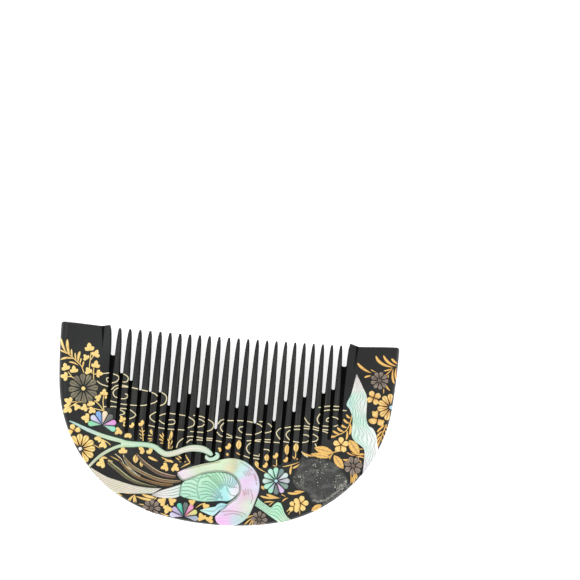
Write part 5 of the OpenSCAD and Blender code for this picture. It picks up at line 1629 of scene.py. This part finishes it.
class KUSHI_OT_lead_flowers(Operator):
    """Makes the tarnished flowers"""

    bl_idname = "kushi.lead_flowers"
    bl_label = "Lead flowers"

    def execute(self, context):
        face, colours = comb(context)
        thick = face.sizes.lead
        grey, brown = linear("#8e8874"), linear("#a08e80")
        finish = metal_finish("tarnished_silver", "#5c584c", "#b0aa98")
        big = Build()
        bloom(big, face, LEAD_LEFT, thick, [(grey, linear("#8f8872"))], 0.2, rib=0.07, dome=0.7,
              crease=linear("#24231f"))
        settle(big.object("lead_flower_left_petals", finish), "lead", "lead_flower_left")
        finish = metal_finish("tarnished_lead", "#6e6258", "#b4a89c")
        for node, flower in LEAD_SMALL:
            small = Build()
            bloom(small, face, flower, thick, [(brown, linear("#a8988c"))], 0.2, rib=0.06, dome=0.7,
                  crease=linear("#3c322c"))
            button(small, face, place(flower[:2]), 0.22 * flower[2] / 100 * BLOOM, thick, linear("#77695e"))
            settle(small.object(f"{node}_petals", finish), "lead", node)
        heart = Build()
        button(heart, face, place(LEAD_LEFT[:2]), 1.2 / 100 * BLOOM, thick + 0.05, colours.gold)
        settle(heart.object("lead_flower_heart_dot", gold_finish("gold_heart")), "gold", "lead_flower_heart")
        return {"FINISHED"}


class KUSHI_OT_gold_flowers(Operator):
    """Makes the raised gold flowers and leaves"""

    bl_idname = "kushi.gold_flowers"
    bl_label = "Gold flowers and leaves"

    def execute(self, context):
        face, colours = comb(context)
        thick = face.sizes.gold
        crease = colours.crease
        finish = gold_finish("raised_gold")
        tones = {"gold": [(colours.orange, colours.gold)], "orange": [(linear("#e0a044"), linear("#ffd680"))]}
        for node, flower, tone_name in (("gold_mum_left", MUM_LEFT, "gold"), ("gold_mum_right", MUM_RIGHT, "orange")):
            mum = Build()
            bloom(mum, face, flower, thick, tones[tone_name], 0.2, rib=0.05, notch=0.25, dome=0.6, crease=crease)
            settle(mum.object(f"{node}_petals", finish), "gold", node)
        for node, tone_name, flowers in BLOSSOMS:
            blossom = Build()
            for flower in flowers:
                bloom(blossom, face, flower, thick, tones[tone_name], 0.1, notch=0.45, dome=0.6, crease=crease,
                      long=14, wide=11)
            settle(blossom.object(f"{node}_petals", finish), "gold", node)
        leaves = Build()
        for row in LEAVES:
            leaf_blade(leaves, face, row, thick, colours.orange, crease)
        settle(leaves.object("gold_leaf_blades", finish), "gold", "gold_leaves")
        return {"FINISHED"}


class KUSHI_OT_water_lines(Operator):
    """Makes the gold lines of flowing water over the teeth"""

    bl_idname = "kushi.water_lines"
    bl_label = "Water lines"

    def execute(self, context):
        face, colours = comb(context)
        lines = Build()
        for points in WATER:
            line(lines, face, smooth(place(points), 8), face.sizes.line, 0.08, np.array(colours.line))
        settle(lines.object("gold_water_lines", gold_finish("pale_gold")), "gold")
        return {"FINISHED"}


class KUSHI_OT_sprays(Operator):
    """Makes the gold sprays: grass blades, ferns, small leaves and their stems, and the feather strands"""

    bl_idname = "kushi.sprays"
    bl_label = "Sprays"

    def execute(self, context):
        face, colours = comb(context)
        finish = gold_finish("spray_gold")
        blades = Build()
        for i, row in enumerate(STROKES):
            stroke(blades, face, row, 0.12, gilt(colours, place(row[:2])[0], 70 + i))
        settle(blades.object("gold_grass_blades", finish), "gold")
        leaves = Build()
        for i, row in enumerate(TREFOILS):
            trefoil(leaves, face, row, 0.14, gilt(colours, place(row[:2])[0], 270 + i))
        for i, row in enumerate(LENSES):
            leaf_blade(leaves, face, row, 0.16, gilt(colours, place(row[:2])[0], 370 + i), colours.crease, veins=0,
                       long=14, wide=9, toothed=True)
        settle(leaves.object("gold_small_leaves", finish), "gold")
        stems = Build()
        for points in STEMS:
            path = smooth(place(points), 8)
            line(stems, face, path, 0.85 * face.sizes.line, 0.07, gilt(colours, path[0, 0], 471))
        settle(stems.object("gold_stems", finish), "gold")
        strands = Build()
        for points in STRANDS:
            line(strands, face, smooth(place(points), 10), 0.7 * face.sizes.line, 0.14, np.array(linear("#e9e2c8")))
        settle(strands.object("feather_strands", shell_finish("strand_shell", 30)), "shell_cream")
        return {"FINISHED"}


class KUSHI_OT_glue(Operator):
    """Makes the dried glue that the lost inlay has left"""

    bl_idname = "kushi.glue"
    bl_label = "Glue"

    def execute(self, context):
        face, colours = comb(context)
        rng = np.random.default_rng(81)
        crust = Build()
        path = smooth(place(GLUE_BAND), 10)
        line(crust, face, path, 0.24, 0.08, np.array(colours.glue) * 0.4)
        rim = evenly(path, 0.12)
        for at, size, shade in zip(rim + rng.normal(0, 0.3, rim.shape), rng.uniform(0.05, 0.2, len(rim)),
                                   rng.uniform(0.3, 1.1, len(rim))):
            speck(crust, face, at, size, np.array(colours.glue) * shade)
        for x, y, radius, count in GLUE_RINGS:
            turns = rng.uniform(0, 2 * np.pi, count)
            reach = radius / 100 * HALF_WIDE * rng.uniform(0.6, 1.3, count)
            sizes, shades = rng.uniform(0.05, 0.17, count), rng.uniform(0.3, 1.3, count)
            for turn, far, size, shade in zip(turns, reach, sizes, shades):
                at = place((x, y)) + far * np.array([np.cos(turn), np.sin(turn)])
                speck(crust, face, at, size, np.array(colours.glue) * shade)
        settle(crust.object("dried_glue", glue_finish()), "lacquer")
        return {"FINISHED"}


class KUSHI_OT_stage(Operator):
    """Makes the floor, the soft light and the camera"""

    bl_idname = "kushi.stage"
    bl_label = "Stage"

    def execute(self, context):
        scene = context.scene
        reach = 3.0  # half the floor's width in metres
        points = np.array([[-reach, -reach, 0], [reach, -reach, 0], [reach, reach, 0], [-reach, reach, 0]]) / MM
        floor = bpy.data.objects.new("floor", plain_mesh("floor", points - (0, 0, 0.02), [[0, 1, 2, 3]]))
        floor.data.materials.append(stage_finish())
        scene.collection.objects.link(floor)

        world = bpy.data.worlds.new("soft_room")
        world.use_nodes = True
        world.node_tree.nodes["Background"].inputs["Color"].default_value = (1, 1, 1, 1)
        world.node_tree.nodes["Background"].inputs["Strength"].default_value = 0.85
        scene.world = world
        for name, at, size, power in (("window", (-0.45, 0.35, 0.75), 0.5, 2.0), ("fill", (0.5, -0.35, 0.7), 0.6, 0.6)):
            light = bpy.data.lights.new(name, "AREA")
            light.size, light.energy = size, power
            lamp = bpy.data.objects.new(name, light)
            lamp.location = at
            lamp.rotation_euler = (-Vector(at)).to_track_quat("-Z", "Y").to_euler()
            scene.collection.objects.link(lamp)

        # Middle and width of the photo's view at the comb, and the camera's distance, in millimetres; its roll
        view_x, view_y, view_wide, away, roll = 16.1, 41.6, 166.8, 900.0, 4.5
        camera = bpy.data.objects.new("camera", bpy.data.cameras.new("camera"))
        camera.location = (view_x * MM, view_y * MM, (away + 6.0) * MM)
        camera.rotation_euler = (0, 0, np.radians(roll))
        camera.data.sensor_width = 36
        camera.data.lens = 36 * away / view_wide
        camera.data.clip_start, camera.data.clip_end = 0.01, 20
        scene.collection.objects.link(camera)
        scene.camera = camera
        scene.view_settings.view_transform = "Standard"
        return {"FINISHED"}


class KUSHI_PT_panel(Panel):
    """Lists the comb's sizes, colours and pieces"""

    bl_idname = "KUSHI_PT_panel"
    bl_label = "Kushi comb"
    bl_space_type = "VIEW_3D"
    bl_region_type = "UI"
    bl_category = "Kushi comb"

    def draw(self, context):
        for group in (context.scene.kushi_sizes, context.scene.kushi_colours):
            for name in group.bl_rna.properties.keys():
                if name not in ("rna_type", "name"):
                    self.layout.prop(group, name)
        for piece in PIECES:
            self.layout.operator(piece.bl_idname)


PIECES = (
    KUSHI_OT_body, KUSHI_OT_crane, KUSHI_OT_tail, KUSHI_OT_ribbon, KUSHI_OT_waterfall, KUSHI_OT_shell_flowers,
    KUSHI_OT_lead_flowers, KUSHI_OT_gold_flowers, KUSHI_OT_water_lines, KUSHI_OT_sprays, KUSHI_OT_glue, KUSHI_OT_stage
)
CLASSES = (KushiSizes, KushiColours, *PIECES, KUSHI_PT_panel)


def register():
    for cls in CLASSES:
        bpy.utils.register_class(cls)
    bpy.types.Scene.kushi_sizes = PointerProperty(type=KushiSizes)
    bpy.types.Scene.kushi_colours = PointerProperty(type=KushiColours)


def unregister():
    del bpy.types.Scene.kushi_colours
    del bpy.types.Scene.kushi_sizes
    for cls in reversed(CLASSES):
        bpy.utils.unregister_class(cls)


def main():
    register()
    for piece in PIECES:
        group, name = piece.bl_idname.split(".")
        getattr(getattr(bpy.ops, group), name)()


if __name__ == "__main__":
    main()
